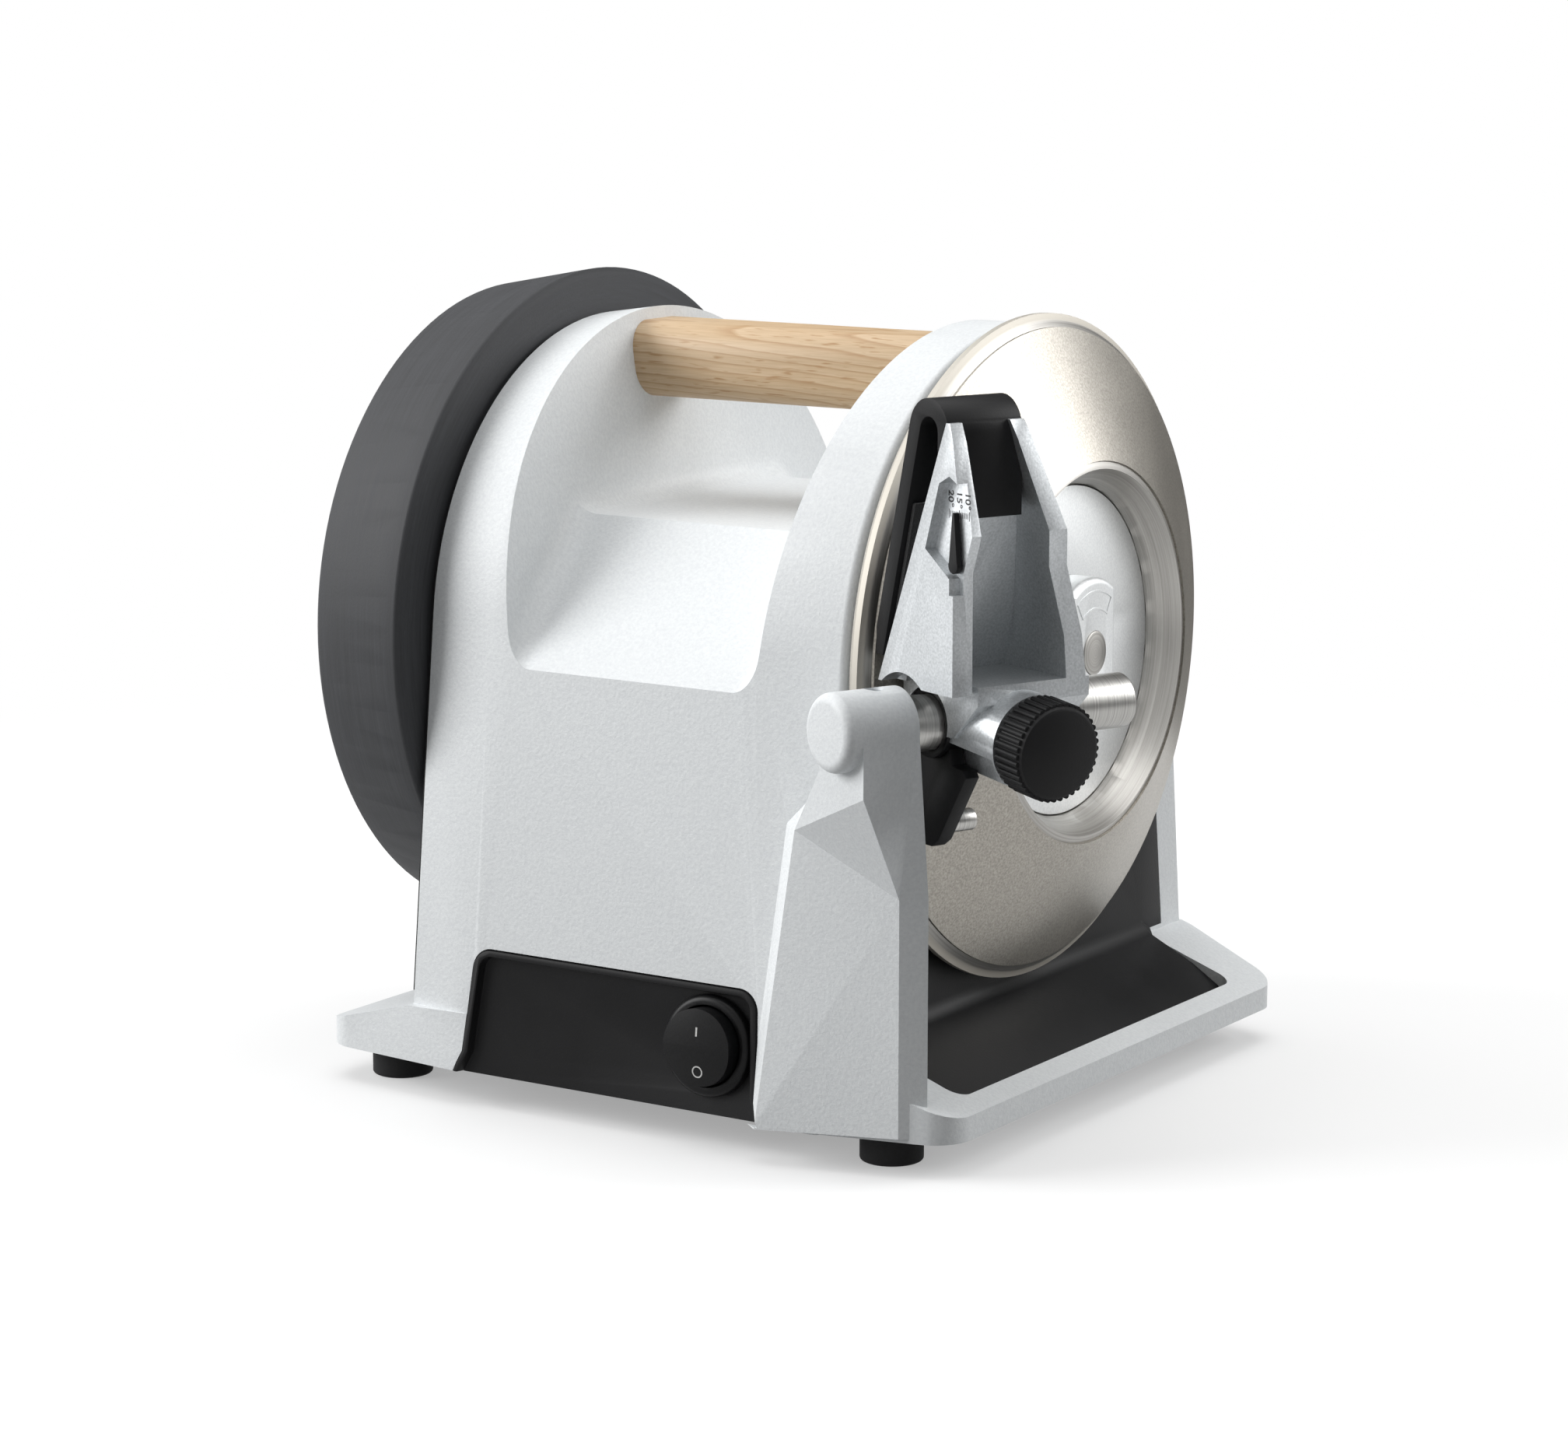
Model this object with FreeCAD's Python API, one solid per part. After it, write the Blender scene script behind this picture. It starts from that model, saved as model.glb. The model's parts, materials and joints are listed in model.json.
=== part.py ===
import FreeCAD, Part
import math
import os

V = FreeCAD.Vector

# Driving sizes, in millimetres. The spindle axis is the X axis while building:
# x = 0 is the rim of the grinding wheel, -Y is the switch side, +Z is up.
WHEEL_R = 75.0            # grinding wheel rim
CONE_ANGLE = 24.0         # slope of the grinding face and of the support bar, degrees
CONE_INNER_R = 41.2       # inner edge of the grinding face
RECESS_R = 37.4           # edge of the recess floor
RECESS_DEPTH = 7.2        # depth of the recess behind the inner edge
HONING_NEAR_R = 80.3      # honing wheel, large end
HONING_FAR_R = 75.3       # honing wheel, small end
HONING_NEAR_X = -118.8
HONING_WIDTH = 28.6
HOUSING_LEFT = -117.0
HOUSING_RIGHT = -5.0
ARCH_R = 72.6             # round top of both flanges
BAND_DROP = 2.6           # how far the left band falls towards its outer edge
FOOT_HALF_DEPTH = 83.0    # half depth of the housing at the base
BASE_Z = -95.0            # underside of the base
BASE_LEFT = -144.2
BASE_RIGHT = 24.3
FOOT_H = 8.0
WALL = 4.0
SHAFT_R = 6.0
BAR_R = 6.0
BAR_Z = -5.0              # support bar, below the spindle axis
BAR_START = (3.9, -WHEEL_R - 19.0)  # rounded end of the bar's boss
BAR_LENGTH = 77.0
BOSS_R = 8.5
BOSS_LENGTH = 18.0
HUB_R = 9.8               # knife guide hub
GUIDE_START = 19.0        # outer face of the guide's left wall, along the bar
GUIDE_END = 54.0
GUIDE_TOP = 65.0
PLATFORM_Z = 28.0         # flat of the saddle between the flanges
PLATFORM_HALF = 40.5
HANDLE_Z1 = ARCH_R - 3.4
HANDLE_Z0 = HANDLE_Z1 - 17.7
HANDLE_HALF = 12.0
PANEL_H = 29.0
SWITCH_X = -35.0
SWITCH_UP = 15.2
SWITCH_R = 11.3
ROCKER_R = 8.6
MOTOR_Z = -56.0
MOTOR_R = 27.0
PULLEY_R = 20.0
MOTOR_PULLEY_R = 5.0

# Clearances.
RUN = 0.05                # shaft in a hole
GAP = 0.5                 # between bodies that move past each other
SEAM = 0.3                # visible seam between fixed pieces

TAN = math.tan(math.radians(CONE_ANGLE))
CONE_X = (WHEEL_R - CONE_INNER_R) * TAN
WHEEL_BACK = -3.0
FLOOR_X = CONE_X - RECESS_DEPTH
FRONT_TILT = math.degrees(math.atan2(FOOT_HALF_DEPTH - ARCH_R - 0.6, -BASE_Z))

shapes = {}


def box(x0, x1, y0, y1, z0, z1):
    return Part.makeBox(x1 - x0, y1 - y0, z1 - z0, V(x0, y0, z0))


def cyl_x(r, x0, x1, y=0.0, z=0.0):
    return Part.makeCylinder(r, x1 - x0, V(x0, y, z), V(1, 0, 0))


def cyl_y(r, y0, y1, x=0.0, z=0.0):
    return Part.makeCylinder(r, y1 - y0, V(x, y0, z), V(0, 1, 0))


def cyl_z(r, z0, z1, x=0.0, y=0.0):
    return Part.makeCylinder(r, z1 - z0, V(x, y, z0), V(0, 0, 1))


def prism(points, direction):
    wire = Part.makePolygon(points + [points[0]])
    return Part.Face(wire).extrude(direction)


def prism_yz(points, x0, x1):
    return prism([V(x0, y, z) for y, z in points], V(x1 - x0, 0, 0))


def prism_xz(points, y0, y1):
    return prism([V(x, y0, z) for x, z in points], V(0, y1 - y0, 0))


def prism_xy(points, z0, z1):
    return prism([V(x, y, z0) for x, y in points], V(0, 0, z1 - z0))


def turned(points):
    """Solid of revolution about the X axis from (x, radius) points."""
    wire = Part.makePolygon([V(x, r, 0) for x, r in points + [points[0]]])
    return Part.Face(wire).revolve(V(0, 0, 0), V(1, 0, 0), 360)


def facets(points, faces):
    """Closed solid from corner points and planar facets."""
    made = []
    for face in faces:
        loop = [V(*points[i]) for i in face]
        made.append(Part.Face(Part.makePolygon(loop + [loop[0]])))
    return Part.Solid(Part.makeShell(made))


def fuse(parts):
    whole = parts[0]
    for other in parts[1:]:
        whole = whole.fuse(other)
    return whole.removeSplitter()


def group(parts):
    return Part.makeCompound(parts)


def rounded(points, radius, z0, z1):
    """Upright prism with every corner of its outline rounded."""
    solid = prism_xy(points, z0, z1)
    upright = []
    for edge in solid.Edges:
        a, b = edge.Vertexes[0].Point, edge.Vertexes[-1].Point
        if abs(a.x - b.x) < 1e-6 and abs(a.y - b.y) < 1e-6:
            upright.append(edge)
    return solid.makeFillet(radius, upright)


def tangent_point(r, half, z):
    """Where the line from (half, z) touches the round top."""
    far = math.hypot(half, z)
    return math.atan2(z, half) + math.acos(r / far)


def arch_face(r, half, z, x):
    """Side outline: round top of radius r, straight sides down to half at z."""
    a = tangent_point(r, half, z)
    right = V(x, r * math.cos(a), r * math.sin(a))
    left = V(x, -right.y, right.z)
    arc = Part.Arc(right, V(x, 0, r), left).toShape()
    low_left = V(x, -half, z)
    low_right = V(x, half, z)
    edges = [arc, Part.makeLine(left, low_left)]
    edges.append(Part.makeLine(low_left, low_right))
    edges.append(Part.makeLine(low_right, right))
    return Part.Face(Part.Wire(edges))


def arch(r, half, z, x0, x1):
    return arch_face(r, half, z, x0).extrude(V(x1 - x0, 0, 0))


def on_front(shape):
    """Lay a piece drawn against an upright front onto the sloping front face."""
    placed = shape.copy()
    placed.rotate(V(0, 0, 0), V(1, 0, 0), -FRONT_TILT)
    placed.translate(V(0, -FOOT_HALF_DEPTH, BASE_Z))
    return placed


def on_bar(shape):
    """Guide pieces: x across the bar away from the wheel, y along it, z up."""
    placed = shape.copy()
    placed.rotate(V(0, 0, 0), V(0, 0, 1), -CONE_ANGLE)
    placed.translate(V(BAR_START[0], BAR_START[1], BAR_Z))
    return placed


def bar_point(across, along, up):
    a = math.radians(CONE_ANGLE)
    x = BAR_START[0] + across * math.cos(a) + along * math.sin(a)
    y = BAR_START[1] - across * math.sin(a) + along * math.cos(a)
    return (x, y, BAR_Z + up)


# Housing: one aluminium casting with two arched flanges, a saddle, a wide base
# and the post that carries the support bar.
RIM_H = 5.4
BASE_TOP = BASE_Z + 12.0
TRAY_HALF = 63.0
TRAY_RIGHT = BASE_RIGHT - 5.5
TRAY_THICK = 1.8
FOOT_R = 7.0
FOOT_Y = FOOT_HALF_DEPTH - 17.4
FEET = [(3.0, FOOT_Y), (3.0, -FOOT_Y), (-131.0, FOOT_Y), (-131.0, -FOOT_Y)]
BAND_X = -99.0
FLANGE_LEFT_LOW = -92.6
FLANGE_LEFT_HIGH = -103.4
FLANGE_RIGHT_LOW = -28.0
FLANGE_RIGHT_HIGH = -19.0
SLOPE_END_Y = FOOT_HALF_DEPTH - 8.0
SLOPE_END_Z = -4.5
VALLEY_R = 6.0
INSERT_R = ARCH_R - 11.6
INSERT_HALF = FOOT_HALF_DEPTH - 12.0
INSERT_T = 2.0
BUSH_R = 12.0
BUSH_LENGTH = 12.0
COLLAR_R = 9.5
FLANGE_CAVITY = 7.0


def base_outline(grow):
    front = FOOT_HALF_DEPTH + grow
    return [
        (BASE_RIGHT + grow, -front + 7.5),
        (BASE_RIGHT + grow, front - 7.5),
        (-13.8, front + 1.0),
        (HOUSING_LEFT + 17.0, front),
        (BASE_LEFT - grow, front - 4.5),
        (BASE_LEFT - grow, -front + 4.5),
        (HOUSING_LEFT + 17.0, -front),
        (-13.8, -front - 1.0),
    ]


def tray_line(drop):
    """Top line of the tray from the rim to the wall behind the wheel."""
    return [
        (TRAY_RIGHT, BASE_Z + 3.4 - drop),
        (8.0, BASE_TOP - 1.5 - drop),
        (HOUSING_RIGHT, BASE_TOP + 5.0 - drop),
    ]


def saddle_tool():
    side = [
        (-SLOPE_END_Y - 20.0, SLOPE_END_Z - 18.8),
        (-SLOPE_END_Y, SLOPE_END_Z),
        (-PLATFORM_HALF, PLATFORM_Z),
        (PLATFORM_HALF, PLATFORM_Z),
        (SLOPE_END_Y, SLOPE_END_Z),
        (SLOPE_END_Y + 20.0, SLOPE_END_Z - 18.8),
        (SLOPE_END_Y + 20.0, ARCH_R + 20.0),
        (-SLOPE_END_Y - 20.0, ARCH_R + 20.0),
    ]
    rise = 20.0 / (ARCH_R - SLOPE_END_Z)
    left_run = FLANGE_LEFT_HIGH - FLANGE_LEFT_LOW
    right_run = FLANGE_RIGHT_HIGH - FLANGE_RIGHT_LOW
    front = [
        (FLANGE_LEFT_LOW - left_run * rise, SLOPE_END_Z - 20.0),
        (FLANGE_LEFT_HIGH + left_run * rise, ARCH_R + 20.0),
        (FLANGE_RIGHT_HIGH + right_run * rise, ARCH_R + 20.0),
        (FLANGE_RIGHT_LOW - right_run * rise, SLOPE_END_Z - 20.0),
    ]
    across = prism_yz(side, FLANGE_LEFT_HIGH - 20.0, FLANGE_RIGHT_HIGH + 20.0)
    along = prism_xz(front, -SLOPE_END_Y - 20.0, SLOPE_END_Y + 20.0)
    tool = across.common(along)
    soft = []
    for edge in tool.Edges:
        low = edge.BoundBox.ZMax < PLATFORM_Z + 0.1
        if low and edge.BoundBox.XLength < 20.0 and edge.BoundBox.YLength > 10.0:
            soft.append(edge)
    return tool.makeFillet(VALLEY_R, soft)


def post_solid():
    """Tapered post under the boss: it leans forward above its knee."""
    top_s = 4.0
    side = BOSS_R - 0.2
    knee_r = -42.0
    knee_l = -29.5
    low = BASE_Z + 1.0
    skin = math.tan(math.radians(FRONT_TILT))
    b0 = (13.0, -FOOT_HALF_DEPTH + 3.8, low)
    b1 = (13.0, -FOOT_HALF_DEPTH + 3.8, knee_r)
    b2 = bar_point(side, top_s, -13.0)
    b3 = bar_point(side, top_s, 0.0)
    c0 = (17.7, -FOOT_HALF_DEPTH + 7.9, low)
    c1 = (17.7, -FOOT_HALF_DEPTH + 7.9, knee_r)
    c3 = bar_point(side, BOSS_LENGTH, 0.0)
    a0 = (-19.2, -FOOT_HALF_DEPTH - 3.2, BASE_Z)
    a1 = (-12.4, -FOOT_HALF_DEPTH + 2.4, knee_l)
    a2 = bar_point(-side, top_s, -9.5)
    a3 = bar_point(-side, top_s, 0.0)
    d0 = (-23.6, -FOOT_HALF_DEPTH + 0.4, BASE_Z)
    d1 = (-17.6, -FOOT_HALF_DEPTH + (knee_l - BASE_Z) * skin + 0.4, knee_l)
    d2 = bar_point(-side, top_s + 5.0, -9.5)
    d3 = bar_point(-side, top_s + 5.0, 0.0)
    points = [b0, b1, b2, b3, c0, c3, a0, a1, a2, a3, d0, d1, d2, d3, c1]
    faces = [
        (6, 0, 1), (6, 1, 7), (7, 1, 2), (7, 2, 8), (8, 2, 3), (8, 3, 9),
        (0, 4, 14), (0, 14, 1), (1, 14, 5), (1, 5, 2), (2, 5, 3),
        (6, 7, 11), (6, 11, 10), (7, 8, 12), (7, 12, 11), (8, 9, 13), (8, 13, 12),
        (10, 11, 14), (10, 14, 4), (14, 11, 12), (14, 12, 5), (5, 12, 13),
        (6, 10, 4), (6, 4, 0),
        (9, 3, 13), (3, 5, 13),
    ]
    return facets(points, faces)


def boss_solid():
    boss = Part.makeCylinder(BOSS_R, BOSS_LENGTH, V(0, 0, 0), V(0, 1, 0))
    ends = [e for e in boss.Edges if e.BoundBox.YMax < 0.01]
    return on_bar(boss.makeFillet(2.2, ends))


PLATE_LEFT = HOUSING_LEFT + WALL + 0.0
PLATE_RIGHT = HOUSING_RIGHT - WALL
PLATE_HALF = FOOT_HALF_DEPTH - WALL - 1.0
PLATE_T = 2.0
POST_Y = FOOT_HALF_DEPTH - 15.0
POSTS = [(-105.0, POST_Y), (-105.0, -POST_Y), (-17.0, POST_Y), (-17.0, -POST_Y)]
POST_R = 4.5
GLAND_X = -60.0
GLAND_UP = 18.0
GLAND_R = 7.0
SET_S = 12.0


def handle_solid(x0, x1):
    bar = box(x0, x1, -HANDLE_HALF, HANDLE_HALF, HANDLE_Z0, HANDLE_Z1)
    along = []
    for edge in bar.Edges:
        if edge.BoundBox.XLength > 1.0:
            along.append(edge)
    return bar.makeFillet(7.0, along)


HANDLE_LEFT = -103.4
HANDLE_RIGHT = -18.8
HANDLE_MID_Z = (HANDLE_Z0 + HANDLE_Z1) / 2.0


def make_housing():
    body = arch(ARCH_R, FOOT_HALF_DEPTH, BASE_Z, BAND_X, HOUSING_RIGHT)
    rims = []
    for edge in body.Edges:
        outer = edge.BoundBox.XMin > HOUSING_RIGHT - 0.01
        if outer and edge.BoundBox.ZMax > BASE_Z + 1.0:
            rims.append(edge)
    body = body.makeFillet(1.5, rims)
    wide = arch_face(ARCH_R, FOOT_HALF_DEPTH, BASE_Z, BAND_X).OuterWire
    narrow = arch_face(ARCH_R - BAND_DROP, FOOT_HALF_DEPTH - BAND_DROP, BASE_Z, HOUSING_LEFT).OuterWire
    body = body.fuse(Part.makeLoft([narrow, wide], True, True))
    slope = [
        (BASE_LEFT - 5.0, BASE_Z), (BASE_RIGHT + 5.0, BASE_Z),
        (BASE_RIGHT + 5.0, BASE_Z + RIM_H - 2.0), (BASE_RIGHT, BASE_Z + RIM_H),
        (HOUSING_RIGHT, BASE_TOP + 4.0), (HOUSING_LEFT, BASE_TOP + 1.0),
        (BASE_LEFT, BASE_Z + RIM_H), (BASE_LEFT - 5.0, BASE_Z + RIM_H - 2.0),
    ]
    base = rounded(base_outline(0.0), 9.0, BASE_Z, BASE_Z + 40.0)
    base = base.common(prism_xz(slope, -120.0, 120.0))
    base = base.common(arch(ARCH_R, FOOT_HALF_DEPTH, BASE_Z, BASE_LEFT - 5.0, BASE_RIGHT + 5.0))
    post = fuse([post_solid(), boss_solid()]).cut(body).cut(base)
    post = max(post.Solids, key=lambda s: s.Volume)
    base = base.cut(body)
    body = body.cut(saddle_tool())
    middle = arch(ARCH_R - WALL - BAND_DROP, FOOT_HALF_DEPTH - WALL - BAND_DROP, BASE_Z - 1.0,
                  HOUSING_LEFT + WALL, HOUSING_RIGHT - WALL)
    under = [
        (-FOOT_HALF_DEPTH, BASE_Z - 1.0),
        (-SLOPE_END_Y - 3.0, SLOPE_END_Z - 8.0),
        (-PLATFORM_HALF + 1.6, PLATFORM_Z - WALL),
        (PLATFORM_HALF - 1.6, PLATFORM_Z - WALL),
        (SLOPE_END_Y + 3.0, SLOPE_END_Z - 8.0),
        (FOOT_HALF_DEPTH, BASE_Z - 1.0),
    ]
    hollow = middle.common(prism_yz(under, HOUSING_LEFT, HOUSING_RIGHT))
    left_hollow = middle.common(box(HOUSING_LEFT + WALL, HOUSING_LEFT + WALL + FLANGE_CAVITY,
                                    -90.0, 90.0, BASE_Z, 90.0))
    right_hollow = middle.common(box(HOUSING_RIGHT - WALL - FLANGE_CAVITY, HOUSING_RIGHT - WALL,
                                     -90.0, 90.0, BASE_Z, 90.0))
    hollow = hollow.fuse(left_hollow).fuse(right_hollow)
    keep = []
    for x, y in POSTS:
        keep.append(cyl_z(POST_R, BASE_Z, BASE_Z + 40.0, x, y))
        reach = 90.0 if y > 0 else -90.0
        keep.append(box(x - 2.0, x + 2.0, min(y, reach), max(y, reach), BASE_Z, BASE_Z + 40.0))
    for x0, x1 in ((HOUSING_LEFT, HOUSING_LEFT + WALL + BUSH_LENGTH),
                   (HOUSING_RIGHT - WALL - BUSH_LENGTH, HOUSING_RIGHT)):
        keep.append(cyl_x(BUSH_R + 5.0, x0, x1))
    for piece in keep:
        hollow = hollow.cut(piece)
    body = body.cut(hollow)
    tools = []
    tools.append(cyl_x(BUSH_R, HOUSING_LEFT + WALL, HOUSING_LEFT + WALL + BUSH_LENGTH + 1.0))
    tools.append(cyl_x(BUSH_R, HOUSING_RIGHT - WALL - BUSH_LENGTH - 1.0, HOUSING_RIGHT - WALL))
    tools.append(cyl_x(COLLAR_R + 1.0, HOUSING_LEFT - 1.0, HOUSING_LEFT + WALL + 0.5))
    tools.append(cyl_x(COLLAR_R + 1.0, HOUSING_RIGHT - WALL - 0.5, HOUSING_RIGHT + 1.0))
    tools.append(arch(INSERT_R, INSERT_HALF, BASE_TOP + 5.0, HOUSING_RIGHT - INSERT_T, HOUSING_RIGHT + 1.0))
    tools.append(arch(INSERT_R, INSERT_HALF, BASE_TOP + 5.0, HOUSING_LEFT - 1.0, HOUSING_LEFT + INSERT_T))
    tray = [(x, z) for x, z in tray_line(TRAY_THICK)]
    back = HOUSING_RIGHT - INSERT_T
    tray = tray + [(back, BASE_TOP + 5.0 - TRAY_THICK), (back, BASE_TOP + 5.0)]
    tray = tray + [(HOUSING_RIGHT, BASE_TOP + 30.0), (TRAY_RIGHT, BASE_TOP + 30.0)]
    pocket = rounded([(HOUSING_RIGHT - INSERT_T - 5.0, -TRAY_HALF), (TRAY_RIGHT, -TRAY_HALF),
                      (TRAY_RIGHT, TRAY_HALF), (HOUSING_RIGHT - INSERT_T - 5.0, TRAY_HALF)],
                     4.0, BASE_Z + 1.0, BASE_TOP + 30.0)
    tools.append(prism_xz(tray, -TRAY_HALF - 5.0, TRAY_HALF + 5.0).common(pocket))
    panel = on_front(panel_outline(0.0, -PANEL_SEAT, 5.0))
    tools.append(panel)
    tools.append(on_front(panel_outline(3.0, -14.0, 0.0).cut(box(-150.0, 50.0, -20.0, 20.0, -10.0, 4.0))))
    tools.append(on_front(cyl_y(SWITCH_R - 1.6 + SEAM, -1.0, 30.0, SWITCH_X, SWITCH_UP)))
    tools.append(handle_solid(HANDLE_LEFT, HANDLE_RIGHT))
    for x0, x1 in ((HOUSING_LEFT + 1.0, HANDLE_LEFT + 1.0), (HANDLE_RIGHT - 1.0, HOUSING_RIGHT - 1.0)):
        tools.append(cyl_x(2.6, x0, x1, 0.0, HANDLE_MID_Z))
    tools.append(box(PLATE_LEFT, PLATE_RIGHT, -PLATE_HALF, PLATE_HALF, BASE_Z - 1.0, BASE_Z + PLATE_T))
    for x, y in POSTS:
        tools.append(cyl_z(1.6, BASE_Z - 1.0, BASE_Z + 14.0, x, y))
    for x, y in FEET:
        tools.append(cyl_z(1.8, BASE_Z - 1.0, BASE_Z + 6.0, x, y))
    tools.append(cyl_y(GLAND_R - 2.0, 40.0, FOOT_HALF_DEPTH + 10.0, GLAND_X, BASE_Z + GLAND_UP))
    for piece in tools:
        body = body.cut(piece)
        base = base.cut(piece)
    post = post.cut(panel)
    post = post.cut(on_bar(Part.makeCylinder(BAR_R, BOSS_LENGTH, V(0, 3.0, 0), V(0, 1, 0))))
    post = post.cut(on_bar(cyl_z(2.0, 0.0, BOSS_R + 2.0, 0.0, SET_S)))
    post = post.cut(body)
    shapes["housing"] = body.removeSplitter()
    shapes["base_frame"] = base.removeSplitter()
    shapes["bar_post"] = post.removeSplitter()


PANEL_SEAT = 3.4
PANEL_DEEP = 2.2
PANEL_RIM = 1.5
PANEL_LEFT = -98.4
PANEL_RIGHT = SWITCH_X + SWITCH_R + PANEL_RIM


def panel_outline(shrink, depth0, depth1):
    """Switch panel against an upright front: round top corners, sides spread below."""
    top = PANEL_H - shrink
    points = [
        (PANEL_LEFT + shrink, top), (PANEL_RIGHT - shrink, top), (PANEL_RIGHT + 1.4 - shrink, 5.0),
        (PANEL_RIGHT + 3.8 - shrink, 0.0), (PANEL_LEFT - 5.0 + shrink, 0.0), (PANEL_LEFT - 2.4 + shrink, 5.0),
    ]
    slab = prism_xz(points, -depth1, -depth0)
    corners = []
    for edge in slab.Edges:
        if edge.BoundBox.YLength > 0.1 and edge.BoundBox.ZMin > top - 0.1 and edge.BoundBox.XLength < 0.1:
            corners.append(edge)
    return slab.makeFillet(5.0 - shrink, corners)


def make_panel():
    panel = panel_outline(SEAM, -PANEL_SEAT, 0.4)
    panel = panel.cut(panel_outline(SEAM + PANEL_RIM, -PANEL_DEEP, 5.0))
    opening = cyl_y(SWITCH_R - 1.6, -10.0, 10.0, SWITCH_X, SWITCH_UP)
    return on_front(panel.cut(opening))


PIVOT_R = 1.0
PIVOT_Y = PANEL_DEEP - 0.6
ROCKER_FRONT = PANEL_DEEP - 6.0
ROCKER_TURN = 10.0


def make_switch():
    ring = cyl_y(SWITCH_R, PANEL_DEEP - 2.4, PANEL_DEEP, SWITCH_X, SWITCH_UP)
    ring = ring.makeFillet(1.6, [e for e in ring.Edges if e.BoundBox.YMax < PANEL_DEEP - 2.3])
    body = cyl_y(SWITCH_R - 1.6, PANEL_DEEP, 18.0, SWITCH_X, SWITCH_UP)
    case = fuse([ring, body])
    well = cyl_y(ROCKER_R + GAP, -10.0, 10.0, SWITCH_X, SWITCH_UP)
    case = case.cut(well)
    reach = ROCKER_R + GAP + 0.2
    case = case.fuse(cyl_x(PIVOT_R, SWITCH_X - reach, SWITCH_X + reach, PIVOT_Y, SWITCH_UP))
    shapes["switch_case"] = on_front(case)
    prongs = []
    for dz in (-4.0, 4.0):
        prongs.append(box(SWITCH_X - 2.4, SWITCH_X + 2.4, 18.0, 26.0,
                          SWITCH_UP + dz - 0.4, SWITCH_UP + dz + 0.4))
    shapes["switch_terminals"] = on_front(group(prongs))
    rocker = cyl_y(ROCKER_R, ROCKER_FRONT, PIVOT_Y + 3.2, SWITCH_X, SWITCH_UP)
    fall = 12.0 * math.tan(math.radians(ROCKER_TURN))
    pressed = prism_yz([(ROCKER_FRONT, SWITCH_UP), (ROCKER_FRONT + fall, SWITCH_UP - 12.0),
                        (ROCKER_FRONT - 4.0, SWITCH_UP - 12.0), (ROCKER_FRONT - 4.0, SWITCH_UP)],
                       SWITCH_X - 20.0, SWITCH_X + 20.0)
    rocker = rocker.cut(pressed)
    rocker = rocker.cut(cyl_x(PIVOT_R + RUN, SWITCH_X - 20.0, SWITCH_X + 20.0, PIVOT_Y, SWITCH_UP))
    shapes["switch_rocker"] = on_front(rocker)


def make_tray():
    """Black insert: wall behind the wheel and the sloping tray in the base."""
    wall = arch(INSERT_R - SEAM, INSERT_HALF - SEAM, BASE_TOP + 5.0, HOUSING_RIGHT - INSERT_T, HOUSING_RIGHT)
    top = tray_line(0.0)
    low = tray_line(TRAY_THICK)
    line = top + [(HOUSING_RIGHT - INSERT_T, BASE_TOP + 5.0)]
    line = line + [(HOUSING_RIGHT - INSERT_T, BASE_TOP + 5.0 - TRAY_THICK)]
    line = line + list(reversed(low))
    outline = rounded([(HOUSING_RIGHT - INSERT_T - 6.0, -TRAY_HALF + SEAM), (TRAY_RIGHT, -TRAY_HALF + SEAM),
                       (TRAY_RIGHT, TRAY_HALF - SEAM), (HOUSING_RIGHT - INSERT_T - 6.0, TRAY_HALF - SEAM)],
                      4.0, BASE_Z, BASE_TOP + 30.0)
    floor = prism_xz(line, -TRAY_HALF, TRAY_HALF).common(outline)
    tray = wall.fuse(floor)
    tray = tray.cut(cyl_x(COLLAR_R + 1.5, HOUSING_RIGHT - 10.0, HOUSING_RIGHT + 10.0))
    for y in (-30.0, 30.0):
        tray = tray.cut(cyl_x(1.6, HOUSING_RIGHT - 10.0, HOUSING_RIGHT + 1.0, y, 20.0))
    return tray.cut(shapes["housing"]).cut(shapes["base_frame"]).removeSplitter()


def make_left_guard():
    plate = arch(INSERT_R - SEAM, INSERT_HALF - SEAM, BASE_TOP + 5.0 + SEAM, HOUSING_LEFT,
                 HOUSING_LEFT + INSERT_T)
    return plate.cut(cyl_x(COLLAR_R + 1.5, HOUSING_LEFT - 1.0, HOUSING_LEFT + 10.0))


make_housing()
shapes["front_panel"] = make_panel().cut(shapes["housing"]).cut(shapes["base_frame"])
make_switch()
shapes["front_panel"] = shapes["front_panel"].cut(shapes["switch_case"])
shapes["splash_tray"] = make_tray()
shapes["left_guard"] = make_left_guard()

# Handle: beech bar let into both flanges and screwed from inside them.
handle = handle_solid(HANDLE_LEFT, HANDLE_RIGHT)
left_inner = HOUSING_LEFT + WALL + FLANGE_CAVITY
right_inner = HOUSING_RIGHT - WALL - FLANGE_CAVITY
left_bolt = fuse([cyl_x(4.5, left_inner - 3.0, left_inner, 0.0, HANDLE_MID_Z),
                  cyl_x(2.5, left_inner, HANDLE_LEFT + 14.0, 0.0, HANDLE_MID_Z)])
right_bolt = fuse([cyl_x(4.5, right_inner, right_inner + 3.0, 0.0, HANDLE_MID_Z),
                   cyl_x(2.5, HANDLE_RIGHT - 14.0, right_inner, 0.0, HANDLE_MID_Z)])
shapes["handle_bolts"] = group([left_bolt, right_bolt])
shapes["handle"] = handle.cut(left_bolt).cut(right_bolt)

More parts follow.
